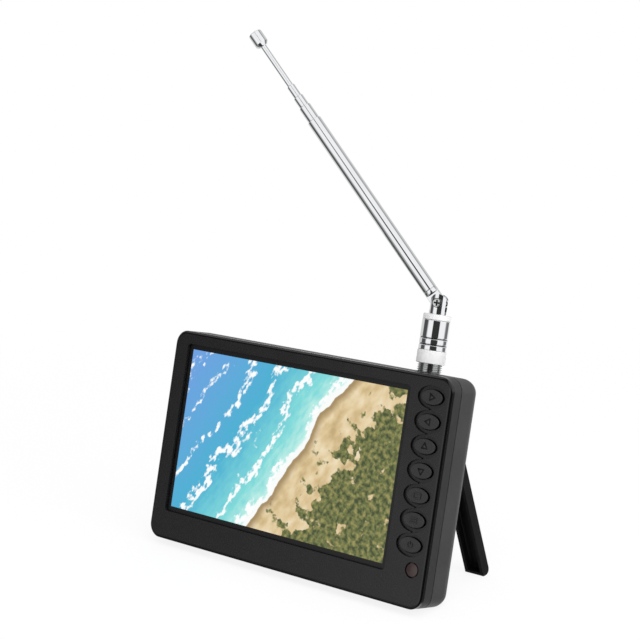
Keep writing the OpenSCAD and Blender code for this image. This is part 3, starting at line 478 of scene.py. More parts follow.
def lcd(tree):
    """A lit liquid-crystal picture behind an anti-glare film, inside a black border: a plain view
    straight down on a shore that crosses the picture, with surf, sand and scrub."""
    place = in_case(tree, SCREEN_X, SCREEN_Z)
    across, _, up = add(tree, "SeparateXYZ", {0: place}).outputs
    shore = add(tree, "Mapping", {"Vector": place, "Rotation": (0, radians(SHORE_TURN), 0)}).outputs[0]
    out = add(tree, "SeparateXYZ", {0: shore}).outputs["Z"]

    def noise(scale, detail, seed):
        spot = add(tree, "Mapping", {"Vector": shore, "Scale": scale, "Location": (seed, 0, 0)}).outputs[0]
        return add(tree, "TexNoise", {"Vector": spot, "Scale": 1.0, "Detail": detail}).outputs["Fac"]

    def beyond(level, bend, width, seed):
        """Distance in mm past a winding line along the shore, with bends of a width."""
        line = work(tree, "MULTIPLY_ADD", noise((1 / width, 0, 0), 5.0, seed), bend, level - bend / 2)
        return work(tree, "SUBTRACT", out, line)

    def ramp(factor, *stops):
        node = add(tree, "ValToRGB", {0: factor})
        while len(node.color_ramp.elements) < len(stops):
            node.color_ramp.elements.new(0.5)
        for element, (spot, code) in zip(node.color_ramp.elements, stops):
            element.position, element.color = spot, paint(code)
        return node.outputs[0]

    # Sea, pale green over the shallows and blue farther out, with thin broken lines of surf
    sea = beyond(-6.0, 18.0, 34.0, 5.0)
    swell = noise((0.20, 0, 0.55), 8.0, 3.0)
    depth = past(tree, work(tree, "MULTIPLY_ADD", swell, 14.0, sea), 8.0, 74.0)
    scene = ramp(depth, (0.0, "#c2efe6"), (0.14, "#7ed8d8"), (0.42, "#46aed0"), (1.0, "#6c9fe0"))
    rows = work(tree, "MULTIPLY", sea, 0.50)
    drift = work(tree, "MULTIPLY_ADD", noise((0.03, 0, 0.05), 6.0, 3.4), 14.0, rows)
    calm = work(tree, "MULTIPLY", depth, -0.2)
    lace = work(tree, "MULTIPLY_ADD", noise((0.30, 0, 0.50), 10.0, 8.0), 1.6, calm)
    crest = work(tree, "MULTIPLY_ADD", work(tree, "SINE", drift), 0.35, lace)
    scene = blend(tree, past(tree, crest, 0.96, 1.12), scene, "#fbfdfd")
    wash = work(tree, "MULTIPLY_ADD", noise((0.15, 0, 0.15), 9.0, 1.0), -5.0, sea)
    scene = blend(tree, past(tree, wash, 0.0, -1.2), scene, "#f7faf8")
    # Land: sand, wet along the shore, with clumps of scrub farther in
    land = ramp(noise((0.12, 0, 0.20), 9.0, 2.0), (0.30, "#c2a878"), (0.48, "#dcc496"), (0.70, "#efe0bf"))
    scrub = ramp(noise((0.55, 0, 0.55), 8.0, 6.0), (0.38, "#3f4a2a"), (0.52, "#6d7340"), (0.66, "#9a9258"))
    inland = work(tree, "MULTIPLY_ADD", past(tree, sea, -6.0, -30.0), 0.30, noise((0.16, 0, 0.16), 7.0, 7.0))
    land = blend(tree, past(tree, inland, 0.62, 0.66), land, scrub)
    land = blend(tree, past(tree, sea, -4.0, -1.0), land, "#a58c62")
    scene = blend(tree, past(tree, sea, 0.15, -0.15), scene, land)

    # Half the picture's size on each side, then a border that stays black
    inside = 1.0
    for way, half in ((across, SCREEN_W / 2), (up, SCREEN_H / 2)):
        near = work(tree, "LESS_THAN", work(tree, "ABSOLUTE", way), half)
        inside = work(tree, "MULTIPLY", near, inside)
    film = grain(tree, 0.25)
    return {"Base Color": blend(tree, film, "#0c0c0d", "#111112"),
            "Roughness": between(tree, film, 0.26, 0.34), "IOR": 1.49,
            "Emission Color": blend(tree, inside, "#000000", scene), "Emission Strength": 1.0}


PICTURE = finish("lcd_picture_antiglare", lcd)


# Pieces

def piece(name, bm, material, body, node, edge=0.0):
    """Leans a shape back with the set, smooths it, rounds its sharp edges by edge mm, and makes
    it stand for a CAD node on a body."""
    mesh = as_mesh(moved(bm, STANDING), name)
    mesh.materials.append(material)
    mesh.polygons.foreach_set("use_smooth", [True] * len(mesh.polygons))
    mesh.set_sharp_from_angle(angle=radians(SMOOTH_ANGLE))
    thing = placed(name, mesh)
    if edge:
        soften = thing.modifiers.new("edges", "BEVEL")
        soften.width, soften.segments = edge / 1000, 2
        soften.limit_method, soften.angle_limit = "ANGLE", radians(SMOOTH_ANGLE)
        soften.harden_normals = True
    weigh = thing.modifiers.new("shading", "WEIGHTED_NORMAL")
    weigh.keep_sharp = True
    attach(thing, body)
    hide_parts(node)
    return thing


def shaded_walls(bm, least):
    """Puts faces in the second finish, painted shade, where the cosine of their turn from the front is below
    least.
    """
    bm.normal_update()
    for face in bm.faces:
        face.material_index = int(face.normal.y > -least)
    return bm


def front_frame():
    """The front with its screen opening, key chain and screw posts: satin on its face and round the
    screen, near-black painted shade on the other edges and walls with a painted dark reflection on the rolled
    front edge, grained behind them."""
    through = FRONT_WALL + PAST
    turns = [radians(EDGE_TURN) * i / 8 for i in range(9)]
    bend = [(EDGE_BEND * (1 - cos(a)), EDGE_BEND * (sin(turns[-1]) - sin(a))) for a in turns]
    shell = lofted(CASE_W, CASE_H, CORNER_R, bend + [(SHADE_DEPTH, 0.0), (SEAM_Y, 0.0)])
    neck_h = KEY_LEVELS[0] - KEY_LEVELS[-1]
    margin, gap, low = 2 * CHAIN_MARGIN, 2 * KEY_GAP, FRONT_WALL + PILOT_FLOOR
    chain = together(oval(KEY_W + margin, KEY_H + margin, -PAST, CHAIN_DEPTH, KEY_X, z, 72)
                     for z in KEY_LEVELS)
    holes = together(oval(KEY_W + gap, KEY_H + gap, -PAST, through, KEY_X, z, 64) for z in KEY_LEVELS)
    steps = [
        (CUT, plate(INNER_W, INNER_H, CORNER_R - WALL, FRONT_WALL, SEAM_Y + PAST, z=MID_Z)),
        (CUT, plate(OPENING_W, OPENING_H, OPENING_R, -PAST, through, SCREEN_X, SCREEN_Z, 6)),
        (CUT, plate(PANEL_W + 2 * SEAT_GAP, PANEL_H + 2 * SEAT_GAP, 0, SCREEN_RECESS - GASKET_T, through,
                    PANEL_X, PANEL_Z)),
        (CUT, chain),
        (CUT, plate(CHAIN_NECK, neck_h, 0, -PAST, CHAIN_DEPTH - EPS, KEY_X, KEY_LEVELS[0] - neck_h / 2)),
        (CUT, holes),
        (CUT, bar(WINDOW_X, WINDOW_Z, WINDOW_D / 2 + SNUG, -PAST, through, 48))]
    ribs, pilots = [], []
    for x, z, y in BOSSES:
        middle = z + BOSS_R / 2 * (1 if z > MID_Z else -1)
        ribs.append(block((BOSS_R, SEAM_Y - y - EPS, BOSS_R), (x, (y + SEAM_Y) / 2 - EPS, middle)))
        pilots.append(bar(x, z, CASE_SCREW_R, y + PILOT_FLOOR, BOSS_END + PAST))
    pilots += [bar(KEY_POST_X, z, KEY_SCREW_R, low, KEY_BOARD_Y + PAST) for z in KEY_POSTS]
    posts = [bar(KEY_POST_X, z, KEY_POST_R + EPS, FRONT_WALL - EPS, KEY_BOARD_Y) for z in KEY_POSTS]
    posts += [bar(x, z, BOSS_R, y - EPS, BOSS_END) for x, z, y in BOSSES]
    steps += [(JOIN, together(ribs)), (JOIN, together(posts)), (CUT, together(pilots))]
    # Walls and the rolled front edge take painted shade, the second finish; past the shade's depth, faces
    # take the side grain
    made = shaded_walls(worked(shell, steps), FRONT_FLAT)
    for face in made.faces:
        x, y, z = face.calc_center_median()
        beside, above = abs(x - SCREEN_X) - OPENING_W / 2, abs(z - SCREEN_Z) - OPENING_H / 2
        if y > SHADE_DEPTH:
            face.material_index = 2
        elif max(beside, above) < EPS:
            face.material_index = 0
    return made


def leg_pocket(grow):
    """The long pocket that the leg folds into, and the deeper one behind its heel."""
    w = POCKET_W + 2 * grow
    low, top = PIVOT_Z - HEAD_SWEEP - grow, PIVOT_Z + HEAD_SWEEP + grow
    shapes = []
    for floor, z0, z1 in ((POCKET_FLOOR, 0.0, PIVOT_Z), (STOP_FLOOR, low, top)):
        y0, y1 = floor - grow, CASE_D + PAST
        shapes.append(block((w, y1 - y0, z1 - z0), (LEG_X, (y0 + y1) / 2, (z0 + z1) / 2)))
    return shapes


def rear_cover():
    """The back with its seam groove, leg pocket, speaker grille, side sockets, bosses and posts, cut
    flat where it stands on the table."""
    far = CASE_D + PAST
    core_w, core_h = CASE_W - 2 * GROOVE, CASE_H - 2 * GROOVE
    band = worked(plate(CASE_W + PAST, CASE_H + PAST, 0, SEAM_Y - PAST, SEAM_Y + GROOVE, z=MID_Z),
                  [(CUT, plate(core_w, core_h, CORNER_R - GROOVE, 0, CASE_D, z=MID_Z))])
    long_pocket, heel_pocket = leg_pocket(POCKET_WALL)
    housing = worked(rolled_slab(CASE_W, CASE_H, SEAM_Y, CASE_D, CORNER_R, REAR_EDGE_R),
                     [(KEEP, worked(long_pocket, [(JOIN, heel_pocket)]))])
    seat = SPEAKER_R + SEAT_GAP
    rim = worked(bar(SPEAKER_X, SPEAKER_Z, seat + SPEAKER_RIM, SPEAKER_Y + SPEAKER_RIM, BACK_IN + EPS, 64),
                 [(CUT, bar(SPEAKER_X, SPEAKER_Z, seat, SPEAKER_Y, CASE_D, 64))])
    most = int(GRILLE_REACH / GRILLE_PITCH)
    rows = [i * GRILLE_PITCH for i in range(-most, most + 1)]
    grille = together(bar(SPEAKER_X + x, SPEAKER_Z + z, GRILLE_R, BACK_IN - PAST, far, 20)
                      for x in rows for z in rows if Vector((x, z)).length < GRILLE_REACH)
    cavity = rolled_slab(INNER_W, INNER_H, SEAM_Y - PAST, BACK_IN, CORNER_R - WALL, REAR_EDGE_R - WALL)
    pin_l = POCKET_W + 2 * PIN_BITE
    pin_hole = moved(pole(PIN_R, 0, pin_l, 24), at(LEG_X - pin_l / 2, PIVOT_Y, PIVOT_Z) @ ALONG_X)
    posts = [bar(x, z, BACK_BOSS_R, BOSS_END, ROLL_Y + WALL) for x, z, _ in BOSSES]
    posts += [bar(x, z, POST_R, BOARD_BACK, BACK_IN + EPS) for x, z in BOARD_POSTS]
    holes = [bar(x, z, CASE_HOLE_R, BOSS_END - PAST, far) for x, z, _ in BOSSES]
    holes += [bar(x, z, BOARD_SCREW_R, BOARD_BACK - PAST, BOARD_BACK + POST_GRIP) for x, z in BOARD_POSTS]
    sinks = [bar(x, z, CASE_HEAD_R + LOOSE, SCREW_SEAT, far) for x, z, _ in BOSSES]
    stub_hole = moved(pole(STUB_R + SNUG, SOCKET_LOW, CASE_H + PAST, 48), AERIAL)
    noses = [moved(pole(NOSE_R + SNUG, 0, WALL + 2 * PAST, 32),
                   at(SIDE_X - PAST, SOCKET_Y, z) @ ALONG_X) for z in SOCKET_LEVELS]
    card_slot = block((2 * WALL + SNUG, *CARD_SLOT), (SIDE_X, CARD_Y, CARD_Z))
    steps = [(CUT, band), (CUT, cavity), (JOIN, housing), (JOIN, rim), (JOIN, together(posts))]
    steps += [(CUT, shape) for shape in leg_pocket(0)]
    steps += [(CUT, pin_hole), (CUT, together(holes)), (CUT, together(sinks)), (CUT, grille),
              (CUT, stub_hole), (CUT, together(noses)), (CUT, card_slot)]
    floor = moved(block((2 * CASE_W, 4 * CASE_D, PAST), (0, 0, -PAST / 2)),
                  STANDING.inverted() @ Matrix.Scale(0.001, 4))
    steps.append((CUT, floor))
    return worked(rolled_slab(CASE_W, CASE_H, SEAM_Y, CASE_D, CORNER_R, REAR_EDGE_R), steps)


def key_sign(name):
    """The low raised sign on a key, about its middle: an arrow head with sloping sides, a screen,
    bars, or a ring with a stroke."""
    y0, y1 = -KEY_PROUD - SIGN_RISE, -KEY_PROUD + EPS
    if name in ("right", "left", "up", "down"):
        turn = {"right": 0, "up": 90, "left": 180, "down": 270}[name]
        bm = bmesh.new()
        bmesh.ops.create_cone(bm, cap_ends=True, segments=3, radius1=ARROW_R, radius2=ARROW_TOP_R,
                              depth=ARROW_RISE)
        moved(bm, spun(turn - 90, "Z"))
        return moved(bm, at(0, y1 - ARROW_RISE / 2, 0) @ FACING)
    low, high = y0 - PAST, y1 + PAST
    if name == "menu":
        return together(plate(BARS_W, BAR_H, 0.2, y0, y1, 0, i * BAR_PITCH, 4) for i in (-1, 0, 1))
    if name == "source":
        w, h = [size - 2 * SCREEN_SIGN_LINE for size in SCREEN_SIGN]
        return worked(plate(*SCREEN_SIGN, 0.4, y0, y1), [(CUT, plate(w, h, 0.2, low, high))])
    bore = bar(0, 0, RING_SIGN_R - RING_SIGN_LINE, low, high)
    gap = block((1.1, 3, 1.4), (0, y0, 1.1))
    open_ring = worked(bar(0, 0, RING_SIGN_R, y0, y1), [(CUT, bore), (CUT, gap)])
    return together([open_ring, plate(RING_SIGN_LINE, STROKE_H, 0.18, y0, y1, 0, 0.75, 4)])


def key(name, level):
    """An oval key: cap with a softened top edge, flange behind the front wall, plunger. Its walls are
    in the second finish and the sides of its sign in the third, both painted shade."""
    end, thick = FLANGE_Y + FLANGE_T, 2 * PLUNGER_R
    flange_w, flange_h = KEY_W + 2 * FLANGE_LAP, KEY_H + 2 * FLANGE_LAP
    stations = []
    for turn in (90, 67.5, 45, 22.5, 0):
        inset = 2 * KEY_EDGE * (1 - cos(radians(turn)))
        depth = KEY_EDGE * (1 - sin(radians(turn))) - KEY_PROUD
        stations.append((depth, KEY_W - inset, KEY_H - inset))
    stations += [(FLANGE_Y, KEY_W, KEY_H), (FLANGE_Y + EPS, flange_w, flange_h), (end, flange_w, flange_h),
                 (end + EPS, thick, thick), (end + PLUNGER_L, thick, thick)]
    # The sign's sloping sides take painted shade, the third finish; the cap's walls take it in the second
    sign = shaded_walls(key_sign(name), SIGN_FLAT)
    for face in sign.faces:
        face.material_index *= 2
    whole = together([shaded_walls(stacked(stations), CAP_FLAT), sign])
    return moved(whole, at(KEY_X, 0, level))


def infrared_window():
    """A disc in the front wall with a dark gap round its face, held by a rim behind the wall."""
    seat, edge, step = WINDOW_D / 2, WINDOW_EDGE, FRONT_WALL / 2
    face, back, rim = seat - WINDOW_GAP, FRONT_WALL + WINDOW_RIM_T, seat + WINDOW_RIM
    profile = [(0, EPS)] + rounding(face - edge, EPS + edge, edge, -90)
    profile += [(face, step), (seat, step), (seat, FRONT_WALL), (rim, FRONT_WALL), (rim, back), (0, back)]
    return moved(turned(profile, 48), at(WINDOW_X, 0, WINDOW_Z) @ ALONG_Y)


def leg_reach(behind):
    """Distance from the pivot to the floor along the leg, on a line behind its middle."""
    tilt, opening = radians(TILT), radians(LEG_OPEN)
    return ((REAR_EDGE_R - LAND_CUT - sin(tilt) * (PIVOT_Y + behind * cos(opening) - ROLL_Y)
             + cos(tilt) * (PIVOT_Z + behind * sin(opening) - ROLL_Z)) / cos(opening - tilt))


def leg():
    """A tray-shaped leg, open to the front, with a round head, a heel that stops it and a foot
    rounded at the back."""
    half = LEG_T / 2
    sole_angle = pi / 2 - radians(LEG_OPEN - TILT)
    bm = bmesh.new()
    outline = [(-half, HEEL), (-half, -leg_reach(-half)), (half, -leg_reach(half)), (half, half),
               (0, half), (0, HEEL)]
    corners = [bm.verts.new((0, y, z)) for y, z in outline]
    bm.faces.new(corners)
    for spot, radius, angle in ((2, FOOT_R, sole_angle), (3, half - EPS, pi / 2)):
        bmesh.ops.bevel(bm, geom=[corners[spot]], offset=radius / tan(angle / 2), segments=12, profile=0.5,
                        affect="VERTICES", material=-1)
    moved(raised(bm, (LEG_W, 0, 0)), at(-LEG_W / 2, 0, 0))
    tray_end = leg_reach(-half) - LEG_WALL
    tray_l = tray_end - half - LEG_WALL
    tray = block((LEG_W - 2 * LEG_WALL, LEG_T + PAST - LEG_WALL, tray_l),
                 (0, -(LEG_WALL + PAST) / 2, -tray_end + tray_l / 2))
    bmesh.ops.bevel(tray, geom=[e for e in tray.edges if all(v.co.y > 0 for v in e.verts)],
                    offset=TRAY_EDGE, segments=4, profile=0.5, affect="EDGES", material=-1)
    hole = moved(pole(PIN_R + RUN, 0, LEG_W + PAST, 32), ALONG_X @ at(0, 0, -(LEG_W + PAST) / 2))
    return moved(worked(bm, [(CUT, tray), (CUT, hole)]), LEG)


def aerial_socket():
    """The socket's block inside the case, and its stub with a real thread."""
    turns = int((STUB_TOP - SOCKET_LOW) / THREAD_PITCH) + 1
    root, p, around = STUB_R - THREAD_DEPTH, THREAD_PITCH, 40
    bm = bmesh.new()
    line = [bm.verts.new((r, 0, z * p)) for r, z in ((root, 0), (root, 0.12), (STUB_R, 0.44), (STUB_R, 0.56),
                                                     (root, 0.88), (root, 1.0))]
    edges = [bm.edges.new(pair) for pair in zip(line, line[1:])]
    bmesh.ops.spin(bm, geom=line + edges, cent=(0, 0, 0), axis=(0, 0, 1), dvec=(0, 0, p / around),
                   angle=2 * pi * turns, steps=around * turns)
    bmesh.ops.remove_doubles(bm, verts=bm.verts, dist=1e-3)
    low, high = 1.5 * p, 1.5 * p + STUB_TOP - SOCKET_TOP
    for level, way in ((low, -1), (high, 1)):
        cut = bmesh.ops.bisect_plane(bm, geom=bm.verts[:] + bm.edges[:] + bm.faces[:], plane_co=(0, 0, level),
                                     plane_no=(0, 0, way), clear_outer=True)["geom_cut"]
        bmesh.ops.contextual_create(bm, geom=[g for g in cut if isinstance(g, bmesh.types.BMEdge)])
    bmesh.ops.recalc_face_normals(bm, faces=bm.faces)
    moved(bm, AERIAL @ at(0, 0, SOCKET_TOP - low))
    body = block(SOCKET_BODY, (AERIAL_X, AERIAL_Y, SOCKET_LOW + SOCKET_BODY[2] / 2))
    return together([body, bm])


def aerial_sleeve():
    """A chromed sleeve with two turned lines near its foot, with painted shade at their floors."""
    r, edge, slope = SLEEVE_R, SLEEVE_EDGE, SLEEVE_GROOVE_D
    bore, neck, hollow = STUB_R + RUN, STEM_R + RUN, CAVITY_TOP - SLEEVE_Z
    profile = [(bore, 0)] + rounding(r - edge, edge, edge, -90)
    for level in GROOVE_LEVELS:
        top = level + SLEEVE_GROOVE_H
        profile += [(r, level), (r - slope, level + slope), (r - slope, top - slope), (r, top)]
    profile += rounding(r - edge, SLEEVE_H - edge, edge, 0)
    profile += [(neck, SLEEVE_H), (neck, hollow), (bore, hollow), (bore, 0)]
    bm = turned(profile, 96)
    for face in bm.faces:
        away = face.calc_center_median().xy.length
        # The floors of the turned lines take painted shade
        face.material_index = int(abs(away - r + slope) < EPS)
    return moved(bm, AERIAL @ at(0, 0, SLEEVE_Z))


def insulator(level, outer, inner, height):
    """A ring on the aerial's axis, from a level up, with rounded outer edges."""
    edge = RING_EDGE
    profile = [(inner, 0)] + rounding(outer - edge, edge, edge, -90)
    profile += rounding(outer - edge, height - edge, edge, 0) + [(inner, height), (inner, 0)]
    return moved(turned(profile, 96), AERIAL @ at(0, 0, level))


def aerial_fork():
    """An oval post with flat seats for its screw, rounded over the top, slotted for the mast's eye,
    on a stem that is riveted over inside the sleeve."""
    rise = KNUCKLE_Z - FORK_Z
    low = FORK_GAP - rise
    post = pole(FORK_R, low, FORK_R, 96)
    bmesh.ops.scale(post, vec=((FORK_FLAT - EPS) / FORK_R, 1, 1), verts=post.verts)
    seat = moved(pole(SEAT_R, 0, 2 * FORK_FLAT, 48), ALONG_X @ at(0, 0, -FORK_FLAT))
    cheek = bmesh.new()
    rounded_face(cheek, 2 * FORK_R, 4 * FORK_R, FORK_R - EPS, 24)
    moved(raised(cheek, (0, 0, 2 * FORK_R)), ALONG_X @ spun(90, "Z") @ at(0, -FORK_R, -FORK_R))
    floor = -EYE_R - LOOSE
    slot_h = FORK_R - floor + PAST
    slot = block((FORK_SLOT, 4 * FORK_R, slot_h), (0, 0, floor + slot_h / 2))
    hole_l = 4 * FORK_R
    hole = moved(pole(SCREW_R, 0, hole_l, 32), ALONG_X @ at(0, 0, -hole_l / 2))
    rivet = CAVITY_TOP - RIVET_GAP - RIVET_T - KNUCKLE_Z
    stem = turned([(0, rivet), (RIVET_R, rivet), (RIVET_R, rivet + RIVET_T), (STEM_R, rivet + RIVET_T),
                   (STEM_R, low + EPS), (0, low + EPS)], 48)
    steps = [(KEEP, cheek), (JOIN, seat), (CUT, slot), (CUT, hole), (JOIN, stem)]
    return moved(worked(post, steps), FORK)


def cross_slot(r, depth, level):
    """Two thin blocks that cut a cross recess into a screw head."""
    long, wide = SLOT_LONG * r, SLOT_WIDE * r
    return [(CUT, block((x, y, 2 * depth), (0, 0, level))) for x, y in ((long, wide), (wide, long))]


def knuckle_screw():
    """A screw with a faintly domed head, with painted shade in its cross slot and round the edge of its head.
    """
    top, across = FORK_FLAT + SCREW_HEAD_T, SCREW_HEAD_R - HEAD_RIM
    brim = top - HEAD_DOME
    profile = [(0, -FORK_FLAT), (SCREW_R, -FORK_FLAT), (SCREW_R, FORK_FLAT), (SCREW_HEAD_R, FORK_FLAT)]
    profile += rounding(across, brim - HEAD_RIM, HEAD_RIM, 0)
    for i in reversed(range(DOME_STEPS)):
        profile.append((across * i / DOME_STEPS, top - HEAD_DOME * (i / DOME_STEPS) ** 2))
    bm = worked(turned(profile, 48), cross_slot(SCREW_HEAD_R, SLOT_DEPTH, top))
    bm.normal_update()
    for face in bm.faces:
        deep = face.calc_center_median().z < brim - HEAD_RIM / 2
        # The cross slot and the head's edge take painted shade
        face.material_index = int(deep or face.normal.z < HEAD_FLAT)
    return moved(bm, FORK @ ALONG_X)


def mast_eye():
    """A flat eye that swings in the fork, a round collar, and a plug inside the lowest tube."""
    edge, plug = COLLAR_EDGE, MAST_R - MAST_WALL
    eye = moved(pole(EYE_R, -EYE_T / 2, EYE_T / 2, 64), ALONG_X)
    neck = worked(block((EYE_T, 2 * EYE_R, COLLAR_S + EPS), (0, 0, (COLLAR_S + EPS) / 2)),
                  [(KEEP, pole(MAST_R, -1, MAST_FOOT, 64))])
    collar = turned([(0, COLLAR_S)] + rounding(MAST_R - edge, COLLAR_S + edge, edge, -90)
                    + rounding(MAST_R - edge, MAST_FOOT - edge, edge, 0)
                    + [(plug, MAST_FOOT), (plug, MAST_FOOT + PLUG_L), (0, MAST_FOOT + PLUG_L)], 64)
    hole = moved(pole(SCREW_R + RUN, -MAST_R, MAST_R, 32), ALONG_X)
    return moved(worked(eye, [(JOIN, neck), (JOIN, collar), (CUT, hole)]), MAST)


def tube_r(i):
    return MAST_R - (i - 1) * MAST_STEP


def tube_top(i):
    return MAST_FOOT + TUBE_L + sum(SHOWS[:i])


def mast_tube(i):
    """A drawn tube whose upper end is rolled in a little round the next one."""
    r, lip, top, bore = tube_r(i), TUBE_LIP, tube_top(i), tube_r(i) - MAST_WALL
    low = top - TUBE_L + (i - 1) * TUBE_L_STEP
    profile = [(bore, low), (r - TUBE_EASE, low), (r, low + TUBE_EASE)]
    profile += rounding(r - lip, top - lip, lip, 0) + [(bore, top), (bore, low)]
    return moved(turned(profile, 64), MAST)


def mast_rod():
    top = tube_top(ROD)
    low = top - TUBE_L + ROD_STEPS * TUBE_L_STEP
    return moved(pole(tube_r(ROD), low, top + TIP_GRIP, 48), MAST)


def mast_tip():
    """The button on the rod's end: a coned foot, a straight side, a softened top."""
    r, edge, bore = TIP_R, TIP_EDGE, tube_r(ROD)
    profile = [(bore, 0), (r - TIP_CHAMFER, 0), (r, TIP_CHAMFER)] + rounding(r - edge, TIP_L - edge, edge, 0)
    profile += [(0, TIP_L), (0, TIP_GRIP), (bore, TIP_GRIP), (bore, 0)]
    return moved(turned(profile, 64), MAST @ at(0, 0, tube_top(ROD)))


def case_screws():
    """Four cross-head screws, sunk in the back of the case."""
    made = []
    for x, z, y in BOSSES:
        low, top, edge = y + PILOT_FLOOR + SCREW_SPARE, SCREW_SEAT + CASE_HEAD_T, CASE_HEAD_EDGE
        profile = [(0, low), (CASE_SCREW_R, low), (CASE_SCREW_R, SCREW_SEAT), (CASE_HEAD_R, SCREW_SEAT)]
        profile += rounding(CASE_HEAD_R - edge, top - edge, edge, 0) + [(0, top)]
        screw = worked(turned(profile, 32), cross_slot(CASE_HEAD_R, CASE_SLOT_DEPTH, top))
        made.append(moved(screw, at(x, 0, z) @ ALONG_Y))
    return together(made)


def leg_pin():
    half = POCKET_W / 2 + PIN_BITE
    return moved(pole(PIN_R, -half, half, 32), at(LEG_X, PIVOT_Y, PIVOT_Z) @ ALONG_X)


shell = piece("front_frame_shell", front_frame(), FRONT_ABS, "case", "front_frame", 0.14)
# The second finish is painted shade, the third the grain of the sides
for material in (SHADE_ABS, SIDE_ABS):
    shell.data.materials.append(material)
piece("rear_cover_shell", rear_cover(), COVER_ABS, "case", "rear_cover", 0.14)
piece("infrared_disc", infrared_window(), FILTER, "case", "infrared_window")
piece("cover_screws", case_screws(), ZINC, "case", "case_screws", 0.06)
piece("hinge_pin", leg_pin(), ZINC, "case", "leg_pin")
piece("folding_leg", leg(), LEG_ABS_AND_SIGN_SHADE, "leg", "leg", 0.3)
piece("threaded_stub", aerial_socket(), NICKEL, "case", "aerial_socket")
piece("lower_ring", insulator(RING_Z, LOWER_RING_R, STUB_R + RUN, LOWER_RING_H), ACETAL, "case",
      "lower_insulator")
sleeve = piece("chrome_sleeve", aerial_sleeve(), CHROME, "case", "aerial_sleeve", 0.05)
# The second finish: painted shade in the turned lines
sleeve.data.materials.append(SHADE_STEEL)
piece("upper_ring", insulator(UPPER_Z, UPPER_RING_R, STEM_R + RUN, UPPER_RING_H), ACETAL, "case",
      "upper_insulator")
piece("knuckle_fork", aerial_fork(), CHROME, "aerial_swivel", "aerial_fork", 0.15)
screw = piece("cross_head_screw", knuckle_screw(), NICKEL, "aerial_swivel", "knuckle_screw", 0.05)
# The second finish: painted shade in the slot and round the head's edge
screw.data.materials.append(SHADE_STEEL)
piece("tongue_and_collar", mast_eye(), CHROME, "mast_lower", "mast_eye", 0.12)
for number, body in enumerate(("mast_lower", "mast_second", "mast_third", "mast_fourth"), 1):
    piece(f"drawn_tube_{number}", mast_tube(number), CHROME, body, f"mast_tube_{number}")
piece("drawn_rod", mast_rod(), CHROME, "mast_top", "mast_rod")
piece("rod_button", mast_tip(), CHROME, "mast_top", "mast_tip")
for name, level in zip(KEYS, KEY_LEVELS):
    body = f"button_{name}"
    cap = piece(f"key_{name}", key(name, level), KEY_ABS, body, body, 0.06)
    # Painted shade on the key's walls and on its sign's sides
    for material in (SHADE_ABS, LEG_ABS_AND_SIGN_SHADE):
        cap.data.materials.append(material)

for material, names in (
        (PICTURE, ["lcd_panel"]), (FOAM, ["panel_gasket"]), (DIFFUSER, ["backlight_unit"]),
        (POLYIMIDE, ["display_ribbon"]), (FLAT_CABLE, ["key_ribbon"]),
        (SOLDER_MASK, ["main_board", "key_board"]), (EPOXY, ["main_chip", "infrared_receiver"]),
        (TIN, ["tuner_can", "card_socket"]), (SWITCH, ["key_switches"]), (CONE, ["speaker"]),
        (RED_LEAD, ["speaker_lead", "battery_lead"]), (FOIL, ["battery_pack"]),
        (SOCKET_PBT, ["aerial_lead", "power_socket", "earphone_socket"]),
        (ZINC, ["board_screws", "key_board_screws"])):
    for name in names:
        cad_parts[name].data.materials.clear()
        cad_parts[name].data.materials.append(material)


# Studio

CAMERA_PLACE, CAMERA_TURN, CAMERA_LENS = (0.400274, -0.477394, 0.237287), (77.569, 0.559, 39.044), 94.15
CAMERA_AZIMUTH = -50.83
AMBIENT = 0.75
# What gloss sees of the studio, in degrees right of the camera and above the horizon: white, but for
# the dark room in front, which narrows upwards, and these dark or grey cards at the sides:
# left and right edge, lowest and highest edge, softness, level
CARDS = ((-200, -116, -110, 110, 5, 0.72), (-116, -74, -110, 34, 5, 0.08), (-116, -74, -11, -2, 3, 0.40),
         (-84, -68, 11, 110, 5, 0.10), (-68, -40, 24, 110, 4, 0.10), (-84, -30, -110, -17, 6, 0.30),
         (-76, -60, -18, -3, 5, 0.42), (81, 123, -110, -4, 8, 0.17), (90, 200, -4, 110, 6, 0.66),
         (90, 120, 36, 60, 4, 0.38))
ROOM_MIDDLE, ROOM_HALF, ROOM_LOW, ROOM_DRIFT, ROOM_TAPER = -1.0, 29.0, 5.0, -0.42, -0.73
ROOM_SOFT, ROOM_LEVEL = 2.0, 0.035
GLOW_NEAR, GLOW_FAR, GLOW_LEAST = 0.10, 0.45, 0.86     # the table turns plain white between two distances


